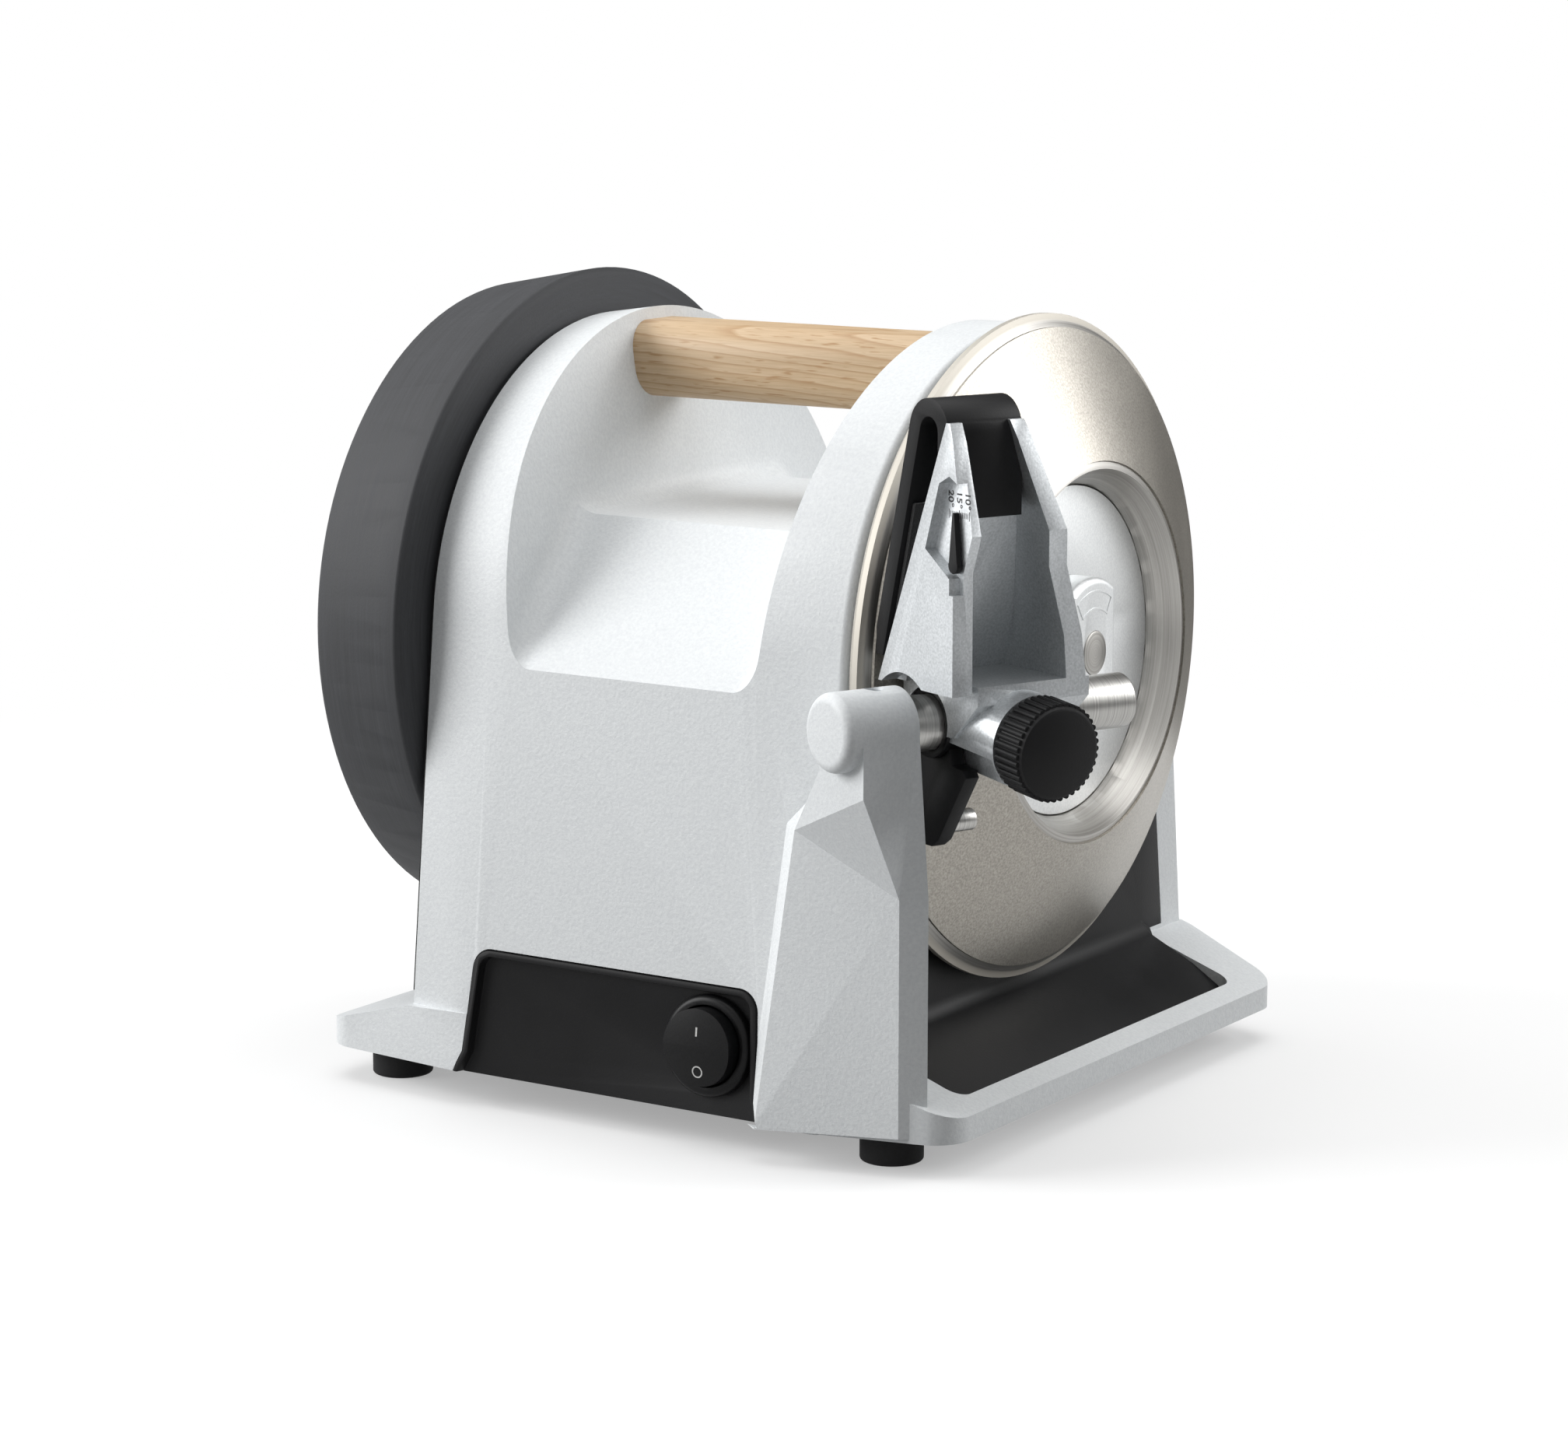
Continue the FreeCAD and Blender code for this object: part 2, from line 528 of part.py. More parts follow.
# Bottom plate with its screws, and four rubber feet.
plate = box(PLATE_LEFT + SEAM, PLATE_RIGHT - SEAM, -PLATE_HALF + SEAM, PLATE_HALF - SEAM, BASE_Z,
            BASE_Z + PLATE_T)
plate_screws = []
for x, y in POSTS:
    plate = plate.cut(cyl_z(1.8, BASE_Z - 1.0, BASE_Z + 5.0, x, y))
    plate_screws.append(fuse([cyl_z(3.0, BASE_Z - 1.8, BASE_Z, x, y),
                              cyl_z(1.5, BASE_Z, BASE_Z + 12.0, x, y)]))
shapes["bottom_plate_screws"] = group(plate_screws)
feet = []
foot_screws = []
for x, y in FEET:
    foot = cyl_z(FOOT_R, BASE_Z - FOOT_H, BASE_Z, x, y)
    low = [e for e in foot.Edges if e.BoundBox.ZMax < BASE_Z - FOOT_H + 0.1]
    foot = foot.makeFillet(0.8, low)
    foot = foot.cut(cyl_z(3.6, BASE_Z - FOOT_H - 1.0, BASE_Z - FOOT_H + 4.0, x, y))
    foot = foot.cut(cyl_z(1.8, BASE_Z - FOOT_H, BASE_Z + 1.0, x, y))
    feet.append(foot)
    head = cyl_z(3.2, BASE_Z - FOOT_H + 2.2, BASE_Z - FOOT_H + 4.0, x, y)
    foot_screws.append(fuse([head, cyl_z(1.7, BASE_Z - FOOT_H + 4.0, BASE_Z + 5.5, x, y)]))
shapes["rubber_feet"] = group(feet)
shapes["foot_screws"] = group(foot_screws)

# Cable gland through the back wall, bare bore.
gland_z = BASE_Z + GLAND_UP
gland_skin = FOOT_HALF_DEPTH - GLAND_UP * math.tan(math.radians(FRONT_TILT))
gland = fuse([cyl_y(GLAND_R, gland_skin - 2.0, gland_skin + 5.0, GLAND_X, gland_z),
              cyl_y(GLAND_R - 2.0, gland_skin - 14.0, gland_skin, GLAND_X, gland_z)])
gland = gland.cut(cyl_y(3.2, gland_skin - 20.0, gland_skin + 20.0, GLAND_X, gland_z))
shapes["cable_gland"] = gland.cut(shapes["housing"])

# Spindle: a stepped steel shaft in two bronze bushes, with a belt pulley.
left_bush_x = HOUSING_LEFT + WALL
right_bush_x = HOUSING_RIGHT - WALL - BUSH_LENGTH
bushes = []
for x in (left_bush_x, right_bush_x):
    bushes.append(cyl_x(BUSH_R, x, x + BUSH_LENGTH).cut(cyl_x(SHAFT_R + RUN, x - 1.0, x + BUSH_LENGTH + 1.0)))
shapes["spindle_bushes"] = group(bushes)
HONING_FAR_X = HONING_NEAR_X - HONING_WIDTH
HONING_RECESS = 8.0
HONING_FLOOR_X = HONING_FAR_X + HONING_RECESS
SHAFT_LEFT = HONING_FAR_X - 1.0
SHAFT_RIGHT = CONE_X + 0.3
END_R = 5.0
shaft = cyl_x(SHAFT_R, HONING_FLOOR_X, FLOOR_X)
shaft = shaft.fuse(cyl_x(END_R, FLOOR_X, SHAFT_RIGHT)).fuse(cyl_x(END_R, SHAFT_LEFT, HONING_FLOOR_X))
collar_gap = 0.4
right_collar = cyl_x(COLLAR_R, HOUSING_RIGHT - WALL + collar_gap, WHEEL_BACK - 1.0)
left_collar = cyl_x(COLLAR_R, HONING_NEAR_X, HOUSING_LEFT + WALL - collar_gap)
shapes["spindle_shaft"] = fuse([shaft, right_collar, left_collar])
PULLEY_X = -38.0
PULLEY_W = 8.0
pulley = turned([(PULLEY_X, SHAFT_R), (PULLEY_X, PULLEY_R + 1.6), (PULLEY_X + 1.0, PULLEY_R + 1.6),
                 (PULLEY_X + 1.0, PULLEY_R), (PULLEY_X + PULLEY_W + 1.0, PULLEY_R),
                 (PULLEY_X + PULLEY_W + 1.0, PULLEY_R + 1.6), (PULLEY_X + PULLEY_W + 2.0, PULLEY_R + 1.6),
                 (PULLEY_X + PULLEY_W + 2.0, SHAFT_R)])
for k in range(6):
    turn = math.radians(60.0 * k)
    pulley = pulley.cut(cyl_x(3.6, PULLEY_X - 1.0, PULLEY_X + PULLEY_W + 3.0,
                              13.0 * math.cos(turn), 13.0 * math.sin(turn)))
shapes["spindle_pulley"] = pulley
clips = []
for x in (left_bush_x + BUSH_LENGTH + 0.4, right_bush_x - 1.4):
    ring = cyl_x(SHAFT_R + 2.0, x, x + 1.0).cut(cyl_x(SHAFT_R, x - 1.0, x + 2.0))
    clips.append(ring.cut(box(x - 1.0, x + 2.0, -1.5, 1.5, -12.0, 0.0)))
shapes["shaft_clips"] = group(clips)

# Grinding wheel: steel ring with a thin diamond face on its cone, carried by a disc.
FACE_T = 0.6
LEDGE_R = 30.0
BEAD = 1.2
ring = turned([
    (WHEEL_BACK, WHEEL_R - 8.0), (WHEEL_BACK, WHEEL_R - BEAD), (WHEEL_BACK + BEAD, WHEEL_R),
    (-BEAD * 0.4, WHEEL_R), (0.0, WHEEL_R - BEAD), ((2.0 * BEAD) * TAN, WHEEL_R - 2.0 * BEAD),
    (CONE_X - 0.2, CONE_INNER_R + 0.8), (CONE_X, CONE_INNER_R), (FLOOR_X, RECESS_R),
    (FLOOR_X - 3.0, RECESS_R), (FLOOR_X - 3.0, LEDGE_R), (FLOOR_X - 6.0, LEDGE_R),
    (FLOOR_X - 6.0, RECESS_R + 6.0),
])
layer = turned([
    ((2.5 * BEAD) * TAN, WHEEL_R - 2.5 * BEAD), ((2.5 * BEAD) * TAN + FACE_T, WHEEL_R - 2.5 * BEAD),
    (CONE_X - 0.7 + FACE_T, CONE_INNER_R + 1.8), (CONE_X - 0.7, CONE_INNER_R + 1.8),
])
layer = layer.cut(ring)
shapes["grinding_ring"] = ring
shapes["diamond_face"] = layer
disc = turned([(FLOOR_X - 3.0, SHAFT_R), (FLOOR_X - 3.0, RECESS_R - SEAM), (FLOOR_X, RECESS_R - SEAM),
               (FLOOR_X, SHAFT_R)])
hub = turned([(WHEEL_BACK - 1.0, SHAFT_R), (WHEEL_BACK - 1.0, 14.0), (FLOOR_X - 3.0, 18.0),
              (FLOOR_X - 3.0, SHAFT_R)])
shapes["wheel_disc"] = fuse([disc, hub])

# Quick-release knob of the grinding wheel, and the same knob on the other end.
KNOB_HALF_Z = 17.0
KNOB_HALF_Y = 9.8
KNOB_FACE = SHAFT_RIGHT - 0.3


def lock_knob(x0, x1):
    low, high = min(x0, x1), max(x0, x1)
    slab = box(low, high, -KNOB_HALF_Y, KNOB_HALF_Y, -KNOB_HALF_Z - 2.0, KNOB_HALF_Z + 2.0)
    slab = slab.common(cyl_x(KNOB_HALF_Z, low, high))
    upright = []
    for edge in slab.Edges:
        at_face = abs(edge.BoundBox.XMin - x1) < 0.01 and abs(edge.BoundBox.XMax - x1) < 0.01
        if at_face:
            upright.append(edge)
    slab = slab.makeFillet(1.6, upright)
    return slab.cut(cyl_x(END_R + RUN, low - 1.0, high + 1.0))


shapes["wheel_lock_knob"] = lock_knob(FLOOR_X + 0.3, KNOB_FACE)

# Honing wheel: tapered composite rim on an aluminium hub.
HONING_HUB_R = 34.0
rim = turned([
    (HONING_NEAR_X, HONING_HUB_R), (HONING_NEAR_X, HONING_NEAR_R - 2.0), (HONING_NEAR_X - 1.4, HONING_NEAR_R),
    (HONING_FAR_X + 1.6, HONING_FAR_R + 0.3), (HONING_FAR_X, HONING_FAR_R - 1.4),
    (HONING_FAR_X, HONING_HUB_R),
])
shapes["honing_wheel"] = rim
shapes["honing_hub"] = turned([
    (HONING_NEAR_X, SHAFT_R), (HONING_NEAR_X, HONING_HUB_R), (HONING_FAR_X, HONING_HUB_R),
    (HONING_FAR_X, HONING_HUB_R - 3.0), (HONING_FLOOR_X, HONING_HUB_R - 5.0), (HONING_FLOOR_X, SHAFT_R),
])
shapes["honing_lock_knob"] = lock_knob(HONING_FLOOR_X - 0.3, SHAFT_LEFT + 0.6)

# Motor with its belt drive, inside the housing.
MOTOR_X0 = -96.0
MOTOR_X1 = -46.0
ROTOR_R = 13.0
AIR_GAP = 0.4
MOTOR_SHAFT_R = 3.0
stator = cyl_x(MOTOR_R, MOTOR_X0 + 10.0, MOTOR_X1 - 10.0, 0.0, MOTOR_Z)
shapes["motor_stator"] = stator.cut(cyl_x(ROTOR_R + AIR_GAP, MOTOR_X0, MOTOR_X1, 0.0, MOTOR_Z))
coils = []
for x0, x1 in ((MOTOR_X0 + 3.0, MOTOR_X0 + 10.0), (MOTOR_X1 - 10.0, MOTOR_X1 - 3.0)):
    coil = cyl_x(MOTOR_R - 5.0, x0, x1, 0.0, MOTOR_Z)
    coils.append(coil.cut(cyl_x(ROTOR_R + 2.0, x0 - 1.0, x1 + 1.0, 0.0, MOTOR_Z)))
shapes["motor_coils"] = group(coils)
brackets = []
motor_bushes = []
for x0, x1, inner in ((MOTOR_X0, MOTOR_X0 + 10.0, 1), (MOTOR_X1 - 10.0, MOTOR_X1, -1)):
    cup = cyl_x(MOTOR_R, x0, x1, 0.0, MOTOR_Z)
    if inner > 0:
        cup = cup.cut(cyl_x(MOTOR_R - 3.0, x0 + 3.0, x1 + 1.0, 0.0, MOTOR_Z))
        bush_x = x0
    else:
        cup = cup.cut(cyl_x(MOTOR_R - 3.0, x0 - 1.0, x1 - 3.0, 0.0, MOTOR_Z))
        bush_x = x1 - 3.0
    cup = cup.cut(cyl_x(6.0, x0 - 1.0, x1 + 1.0, 0.0, MOTOR_Z))
    brackets.append(cup)
    bush = cyl_x(6.0, bush_x, bush_x + 3.0, 0.0, MOTOR_Z)
    motor_bushes.append(bush.cut(cyl_x(MOTOR_SHAFT_R + RUN, bush_x - 1.0, bush_x + 4.0, 0.0, MOTOR_Z)))
shapes["motor_brackets"] = group(brackets)
shapes["motor_bushes"] = group(motor_bushes)
shapes["motor_rotor"] = cyl_x(ROTOR_R, MOTOR_X0 + 9.0, MOTOR_X1 - 9.0, 0.0, MOTOR_Z).cut(
    cyl_x(MOTOR_SHAFT_R, MOTOR_X0, MOTOR_X1, 0.0, MOTOR_Z))
shapes["motor_shaft"] = cyl_x(MOTOR_SHAFT_R, MOTOR_X0 - 4.0, PULLEY_X + PULLEY_W + 3.0, 0.0, MOTOR_Z)
small = turned([
    (PULLEY_X, MOTOR_SHAFT_R), (PULLEY_X, MOTOR_PULLEY_R + 1.6), (PULLEY_X + 1.0, MOTOR_PULLEY_R + 1.6),
    (PULLEY_X + 1.0, MOTOR_PULLEY_R), (PULLEY_X + PULLEY_W + 1.0, MOTOR_PULLEY_R),
    (PULLEY_X + PULLEY_W + 1.0, MOTOR_PULLEY_R + 1.6), (PULLEY_X + PULLEY_W + 2.0, MOTOR_PULLEY_R + 1.6),
    (PULLEY_X + PULLEY_W + 2.0, MOTOR_SHAFT_R),
])
small.translate(V(0, 0, MOTOR_Z))
shapes["motor_pulley"] = small


def belt_loop(extra, x0, x1):
    """Area swept by a belt lying on both pulleys, grown by extra."""
    big = PULLEY_R + extra
    little = MOTOR_PULLEY_R + extra
    lean = math.asin((big - little) / -MOTOR_Z)
    cy, sy = math.cos(lean), math.sin(lean)
    points = [V(x0, big * cy, big * -sy), V(x0, little * cy, MOTOR_Z + little * -sy),
              V(x0, -little * cy, MOTOR_Z + little * -sy), V(x0, -big * cy, big * -sy)]
    edges = [
        Part.makeLine(points[0], points[1]),
        Part.Arc(points[1], V(x0, 0, MOTOR_Z - little), points[2]).toShape(),
        Part.makeLine(points[2], points[3]),
        Part.Arc(points[3], V(x0, 0, big), points[0]).toShape(),
    ]
    return Part.Face(Part.Wire(edges)).extrude(V(x1 - x0, 0, 0))


belt_x = PULLEY_X + 1.0 + GAP
belt_end = PULLEY_X + PULLEY_W + 1.0 - GAP
shapes["drive_belt"] = belt_loop(1.5, belt_x, belt_end).cut(belt_loop(0.3, belt_x - 1.0, belt_end + 1.0))

# Cradle under the motor, strap bolts, capacitor and terminal block on the bottom plate.
cradle = box(MOTOR_X0 + 12.0, MOTOR_X1 - 12.0, -20.0, 20.0, BASE_Z + PLATE_T, MOTOR_Z - 8.0)
shapes["motor_cradle"] = cradle.cut(cyl_x(MOTOR_R, MOTOR_X0, MOTOR_X1, 0.0, MOTOR_Z))
CAP_R = 12.0
CAP_H = 42.0
CAP_X = MOTOR_X0 + 10.0
CAP_Y = FOOT_HALF_DEPTH - 31.0
INNER_Z = BASE_Z + PLATE_T
cap = cyl_z(CAP_R, INNER_Z, INNER_Z + CAP_H, CAP_X, CAP_Y)
cap_rim = [e for e in cap.Edges if e.BoundBox.ZMin > INNER_Z + 1.0]
shapes["run_capacitor"] = cap.makeFillet(CAP_R / 8.0, cap_rim)
BLOCK_X = MOTOR_X1 - 6.0
BLOCK_LENGTH = 22.0
BLOCK_DEPTH = 12.0
BLOCK_H = 14.0
BLOCK_PITCH = 6.5
block_y = CAP_Y - BLOCK_DEPTH / 3.0
block = box(BLOCK_X, BLOCK_X + BLOCK_LENGTH, block_y, block_y + BLOCK_DEPTH, INNER_Z, INNER_Z + BLOCK_H)
for k in range(3):
    x = BLOCK_X + BLOCK_LENGTH / 2.0 + BLOCK_PITCH * (k - 1)
    block = block.cut(cyl_z(1.8, INNER_Z + BLOCK_H / 2.0, INNER_Z + BLOCK_H + 1.0, x,
                            block_y + BLOCK_DEPTH / 2.0))
shapes["terminal_block"] = block
shapes["bottom_plate"] = plate

# Support bar in the boss, held by a set screw from below.
bar = Part.makeCylinder(BAR_R, BAR_LENGTH - 3.0, V(0, 3.0, 0), V(0, 1, 0))
bar = bar.makeChamfer(0.8, [e for e in bar.Edges if e.BoundBox.YMin > BAR_LENGTH - 0.1])
set_screw = cyl_z(2.0, 0.0, BOSS_R - 0.6, 0.0, SET_S)
shapes["support_bar"] = on_bar(bar)
shapes["bar_set_screw"] = on_bar(set_screw).cut(shapes["support_bar"])

# Knife guide on the bar: x across, y along the bar, z up.
SLEEVE_R = 7.6
HUB_START = BOSS_LENGTH + 7.5
LEAN_LOW = (-8.6, 8.5)
LEAN_TOP = (15.8, GUIDE_TOP)
LEFT_WALL_T = 5.0
TIP_T = 3.0               # left wall at its tip, where its inner side has tapered
TAPER_Z = 41.0
LEVER_S0 = 27.2
LEVER_S1 = 30.8


def wall_outline():
    return [LEAN_LOW, LEAN_TOP, (17.2, GUIDE_TOP), (18.4, GUIDE_TOP - 4.0), (21.6, 42.0), (18.6, 34.0),
            (18.6, 8.5)]


def upright_vz(points, s0, s1):
    return prism([V(v, s0, z) for v, z in points], V(0, s1 - s0, 0))


def upright_sz(points, v0, v1):
    return prism([V(v0, s, z) for s, z in points], V(v1 - v0, 0, 0))


def make_guide():
    left = upright_vz(wall_outline(), GUIDE_START, GUIDE_START + LEFT_WALL_T)
    left = left.cut(cyl_y(HUB_R + 1.4, GUIDE_START - 1.0, HUB_START))
    inner = GUIDE_START + LEFT_WALL_T
    tip = GUIDE_START + TIP_T
    taper = [(inner, TAPER_Z), (inner + 1.0, TAPER_Z), (inner + 1.0, GUIDE_TOP + 1.0),
             (tip, GUIDE_TOP + 1.0), (tip, GUIDE_TOP)]
    left = left.cut(upright_sz(taper, -20.0, 40.0))
    lean = [(GUIDE_END, 3.0), (GUIDE_END - 2.0, 19.0), (GUIDE_END - 8.0, 41.0), (GUIDE_END - 16.4, GUIDE_TOP),
            (GUIDE_END - 20.0, GUIDE_TOP), (GUIDE_END - 12.6, 41.0), (GUIDE_END - 6.6, 19.0),
            (GUIDE_END - 5.4, 3.0)]
    right = upright_sz(lean, -20.0, 30.0).common(upright_vz(wall_outline(), GUIDE_START, GUIDE_END))
    run = (LEAN_TOP[0] - LEAN_LOW[0]) / (LEAN_TOP[1] - LEAN_LOW[1])
    web_top = 46.0
    web_v = LEAN_LOW[0] + (web_top - LEAN_LOW[1]) * run
    web = upright_vz([LEAN_LOW, (web_v, web_top), (web_v + 4.0, web_top), (LEAN_LOW[0] + 4.6, LEAN_LOW[1])],
                     GUIDE_START + LEFT_WALL_T - 1.0, GUIDE_END)
    fill = upright_sz([(GUIDE_START + 3.0, 3.0), (GUIDE_END - 1.0, 3.0), (GUIDE_END - 3.0, 19.0),
                       (GUIDE_END - 9.4, web_top), (GUIDE_START + 3.0, web_top)], -20.0, 30.0)
    web = web.common(fill)
    block = upright_vz([(LEAN_LOW[0], 10.0), (18.6, 10.0), (18.6, 6.0), (HUB_R, -2.0), (-HUB_R + 0.4, -2.0),
                        (LEAN_LOW[0], 6.0)], HUB_START, GUIDE_END)
    ring_start = LEVER_S1 + GAP
    hub = cyl_y(HUB_R, ring_start, GUIDE_END)
    over_lever = cyl_y(HUB_R, HUB_START, ring_start).common(box(-20.0, 30.0, 0.0, BAR_LENGTH, -1.0, HUB_R))
    seat_from = KNOB_AXIS * (HUB_R / 2.0) + V(0, KNOB_S, 0)
    seat = Part.makeCylinder(SEAT_R, SEAT_END - HUB_R / 2.0, seat_from, KNOB_AXIS)
    mount = fuse([block, over_lever, seat])
    body = fuse([left, right, web]).cut(hub).cut(mount)
    mount = mount.cut(hub)
    bore = cyl_y(SLEEVE_R + RUN, GUIDE_START - 5.0, GUIDE_END + 5.0)
    body = body.cut(bore)
    for name, piece in (("guide_hub", hub), ("guide_block", mount)):
        piece = piece.cut(bore)
        piece = piece.cut(Part.makeCylinder(SCREW_R + RUN, 40.0, V(0, KNOB_S, 0), KNOB_AXIS))
        piece = piece.cut(box(-14.0, 22.0, LEVER_S0 - GAP, ring_start, -30.0, -1.0))
        shapes[name] = on_bar(max(piece.Solids, key=lambda s: s.Volume).removeSplitter())
    inset = upright_vz([(8.5, 38.4), (13.4, 52.4), (17.0, 54.2), (30.0, 48.0), (30.0, 29.6), (17.2, 29.6),
                        (17.2, 33.0)], GUIDE_START - 1.0, INSET_S)
    body = body.cut(inset)
    body = body.cut(cyl_y(POINTER_PIN_R, GUIDE_START, INSET_S + 2.0, POINTER_V, POINTER_Z))
    return body.removeSplitter()


KNOB_S = (GUIDE_START + GUIDE_END) / 2.0
KNOB_DROP = 5.0
KNOB_AXIS = V(math.cos(math.radians(KNOB_DROP)), 0, -math.sin(math.radians(KNOB_DROP)))
SCREW_R = 3.0
SEAT_R = 10.2
SEAT_END = 23.0
INSET_S = GUIDE_START + 2.6
POINTER_V = 17.0
POINTER_Z = 35.6
POINTER_TIP_Z = 46.6
POINTER_HUB_R = 1.6
POINTER_PIN_R = 1.2
guide_body = make_guide()

# Black hairpin arm clipped over the guide's two tips, with a felt strip inside.
ARM_S0 = GUIDE_START
ARM_S1 = GUIDE_START + 18.6
ARM_C = (9.6, GUIDE_TOP - 2.4)
ARM_R = 7.0
LEG_T = 3.8
LEG_END = (-9.4, 14.0)
SLIDE_LOW = -4.0
SLIDE_HIGH = 20.0
TILT = 5.0


def hairpin(grow, low_left, low_right):
    """Hairpin outline: long leg on the wheel side, short leg in front."""
    r = ARM_R - grow
    lean = math.atan2(ARM_C[0] - ARM_R + 1.2 - LEG_END[0], ARM_C[1] - LEG_END[1])
    left = V(ARM_C[0] - r * math.cos(lean), ARM_S0, ARM_C[1] + r * math.sin(lean))
    right = V(ARM_C[0] + r, ARM_S0, ARM_C[1])
    top = V(ARM_C[0], ARM_S0, ARM_C[1] + r)
    foot = V(left.x - (left.z - low_left) * math.tan(lean), ARM_S0, low_left)
    toe = V(right.x, ARM_S0, low_right)
    edges = [Part.makeLine(foot, left), Part.Arc(left, top, right).toShape(), Part.makeLine(right, toe)]
    mid = V(toe.x, ARM_S0, low_left)
    edges.append(Part.makeLine(toe, mid))
    edges.append(Part.makeLine(mid, foot))
    return Part.Face(Part.Wire(edges)).extrude(V(0, ARM_S1 - ARM_S0, 0))


def wheel_in_guide(slide, tilt):
    """Grinding wheel with its clearance, as the slid and tilted guide sees it."""
    wheel = turned([(WHEEL_BACK - GAP, 0.0), (WHEEL_BACK - GAP, WHEEL_R + GAP), (GAP, WHEEL_R + GAP),
                    (CONE_X + FACE_T + GAP, CONE_INNER_R), (CONE_X + FACE_T + GAP, 0.0)])
    wheel.translate(V(-BAR_START[0], -BAR_START[1], -BAR_Z))
    wheel.rotate(V(0, 0, 0), V(0, 0, 1), CONE_ANGLE)
    wheel.translate(V(0, -slide, 0))
    wheel.rotate(V(0, 0, 0), V(0, 1, 0), tilt)
    return wheel


arm = hairpin(0.0, LEG_END[1], 44.0).cut(hairpin(LEG_T, LEG_END[1] - 5.0, 40.0))
arm = arm.cut(box(4.0, 40.0, ARM_S0 - 1.0, ARM_S1 + 1.0, 0.0, 45.0))
arm = arm.cut(guide_body)
for slide in (SLIDE_LOW, 0.0, SLIDE_HIGH):
    for tilt in (0.0, TILT + 0.4):
        arm = arm.cut(wheel_in_guide(slide, tilt))
arm = max(arm.Solids, key=lambda s: s.Volume)
pin_hole = cyl_y(1.0, GUIDE_START + 1.5, GUIDE_END - 17.0, 15.3, GUIDE_TOP - 4.6)
arm_pin = pin_hole.copy()
guide_body = guide_body.cut(arm_pin)
arm = arm.cut(arm_pin)
shapes["guide_body"] = on_bar(guide_body)
shapes["guide_arm"] = on_bar(arm)
shapes["arm_pin"] = on_bar(arm_pin)
felt_zone = hairpin(LEG_T, LEG_END[1] + 1.0, 40.0).cut(hairpin(LEG_T + 1.2, LEG_END[1] - 5.0, 40.0))
felt_zone = felt_zone.common(box(-20.0, 6.0, ARM_S0 + 1.2, ARM_S1 - 1.2, LEG_END[1] + 1.0, 47.0))
felt = felt_zone.cut(guide_body)
felt = max(felt.Solids, key=lambda s: s.Volume)
shapes["felt_strip"] = on_bar(felt)

# Sleeve that slides on the bar, with the angle lever and its pin.
sleeve = cyl_y(SLEEVE_R, HUB_START + 0.4, GUIDE_END + 0.8).cut(cyl_y(BAR_R + RUN, 0.0, BAR_LENGTH + 5.0))
shapes["guide_sleeve"] = on_bar(sleeve)
lever = upright_vz([(-5.0, -3.0), (5.0, -3.0), (7.0, -8.4), (10.8, -8.8), (12.0, -10.4), (2.0, -25.4),
                    (-0.4, -27.0), (-7.4, -27.0), (-8.0, -25.4)], LEVER_S0, LEVER_S1)
lever = lever.cut(cyl_y(SLEEVE_R, 0.0, BAR_LENGTH))
lever_pin = cyl_y(2.4, LEVER_S1, LEVER_S1 + 5.4, 1.4, -21.6)
shapes["angle_lever"] = on_bar(lever)
shapes["lever_pin"] = on_bar(lever_pin)

# Pointer on the angle scale.
pointer = upright_vz([(POINTER_V - POINTER_HUB_R + 0.1, POINTER_Z),
                      (POINTER_V + POINTER_HUB_R - 0.1, POINTER_Z),
                      (POINTER_V + 0.3, POINTER_TIP_Z), (POINTER_V - 0.3, POINTER_TIP_Z)],
                     INSET_S - 1.6, INSET_S - 0.3)
pointer = pointer.fuse(cyl_y(POINTER_HUB_R, INSET_S - 1.6, INSET_S - 0.3, POINTER_V, POINTER_Z))
pointer = pointer.fuse(cyl_y(POINTER_PIN_R - RUN, INSET_S - 0.3, INSET_S + 1.8, POINTER_V, POINTER_Z))
shapes["angle_pointer"] = on_bar(pointer.removeSplitter())

# Clamp knob with its screw, on the front of the guide's hub.
KNOB_V0 = 23.6
KNOB_V1 = 32.6
KNOB_R = 10.6
knob = Part.makeCylinder(KNOB_R, KNOB_V1 - KNOB_V0, V(KNOB_V0, KNOB_S, 0), V(1, 0, 0))
knob = knob.makeFillet(1.4, [e for e in knob.Edges if e.BoundBox.XMin > KNOB_V1 - 0.1])
for k in range(24):
    turn = math.radians(15.0 * k)
    groove = Part.makeCylinder(0.8, KNOB_V1 - KNOB_V0 - 1.6,
                               V(KNOB_V0 + 0.6, KNOB_S + (KNOB_R + 0.35) * math.cos(turn),
                                 (KNOB_R + 0.35) * math.sin(turn)), V(1, 0, 0))
    knob = knob.cut(groove)
screw = Part.makeCylinder(SCREW_R, KNOB_V1 - 4.0 - SLEEVE_R - 0.8, V(SLEEVE_R + 0.8, KNOB_S, 0), V(1, 0, 0))
knob = knob.cut(screw)
for piece in (screw, knob):
    piece.rotate(V(0, 0, 0), V(0, 1, 0), KNOB_DROP)
shapes["clamp_screw"] = on_bar(screw)
shapes["clamp_knob"] = on_bar(knob)

# Put the origin at the middle of the underside of the whole object and save.
whole = Part.makeCompound(list(shapes.values()))
limits = whole.optimalBoundingBox(False, False)
shift = V(-(limits.XMin + limits.XMax) / 2.0, -(limits.YMin + limits.YMax) / 2.0, -limits.ZMin)
os.makedirs("parts", exist_ok=True)
for name in shapes:
    piece = shapes[name].copy()
    piece.translate(shift)
    piece.exportStep("parts/" + name + ".step")
print("shift", round(shift.x, 4), round(shift.y, 4), round(shift.z, 4))
for name in shapes:
    state = [len(shapes[name].Solids), round(shapes[name].Volume, 1), shapes[name].isValid()]
    print(name, state)
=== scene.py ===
import json
import math
import bmesh
import bpy
from mathutils import Matrix, Vector


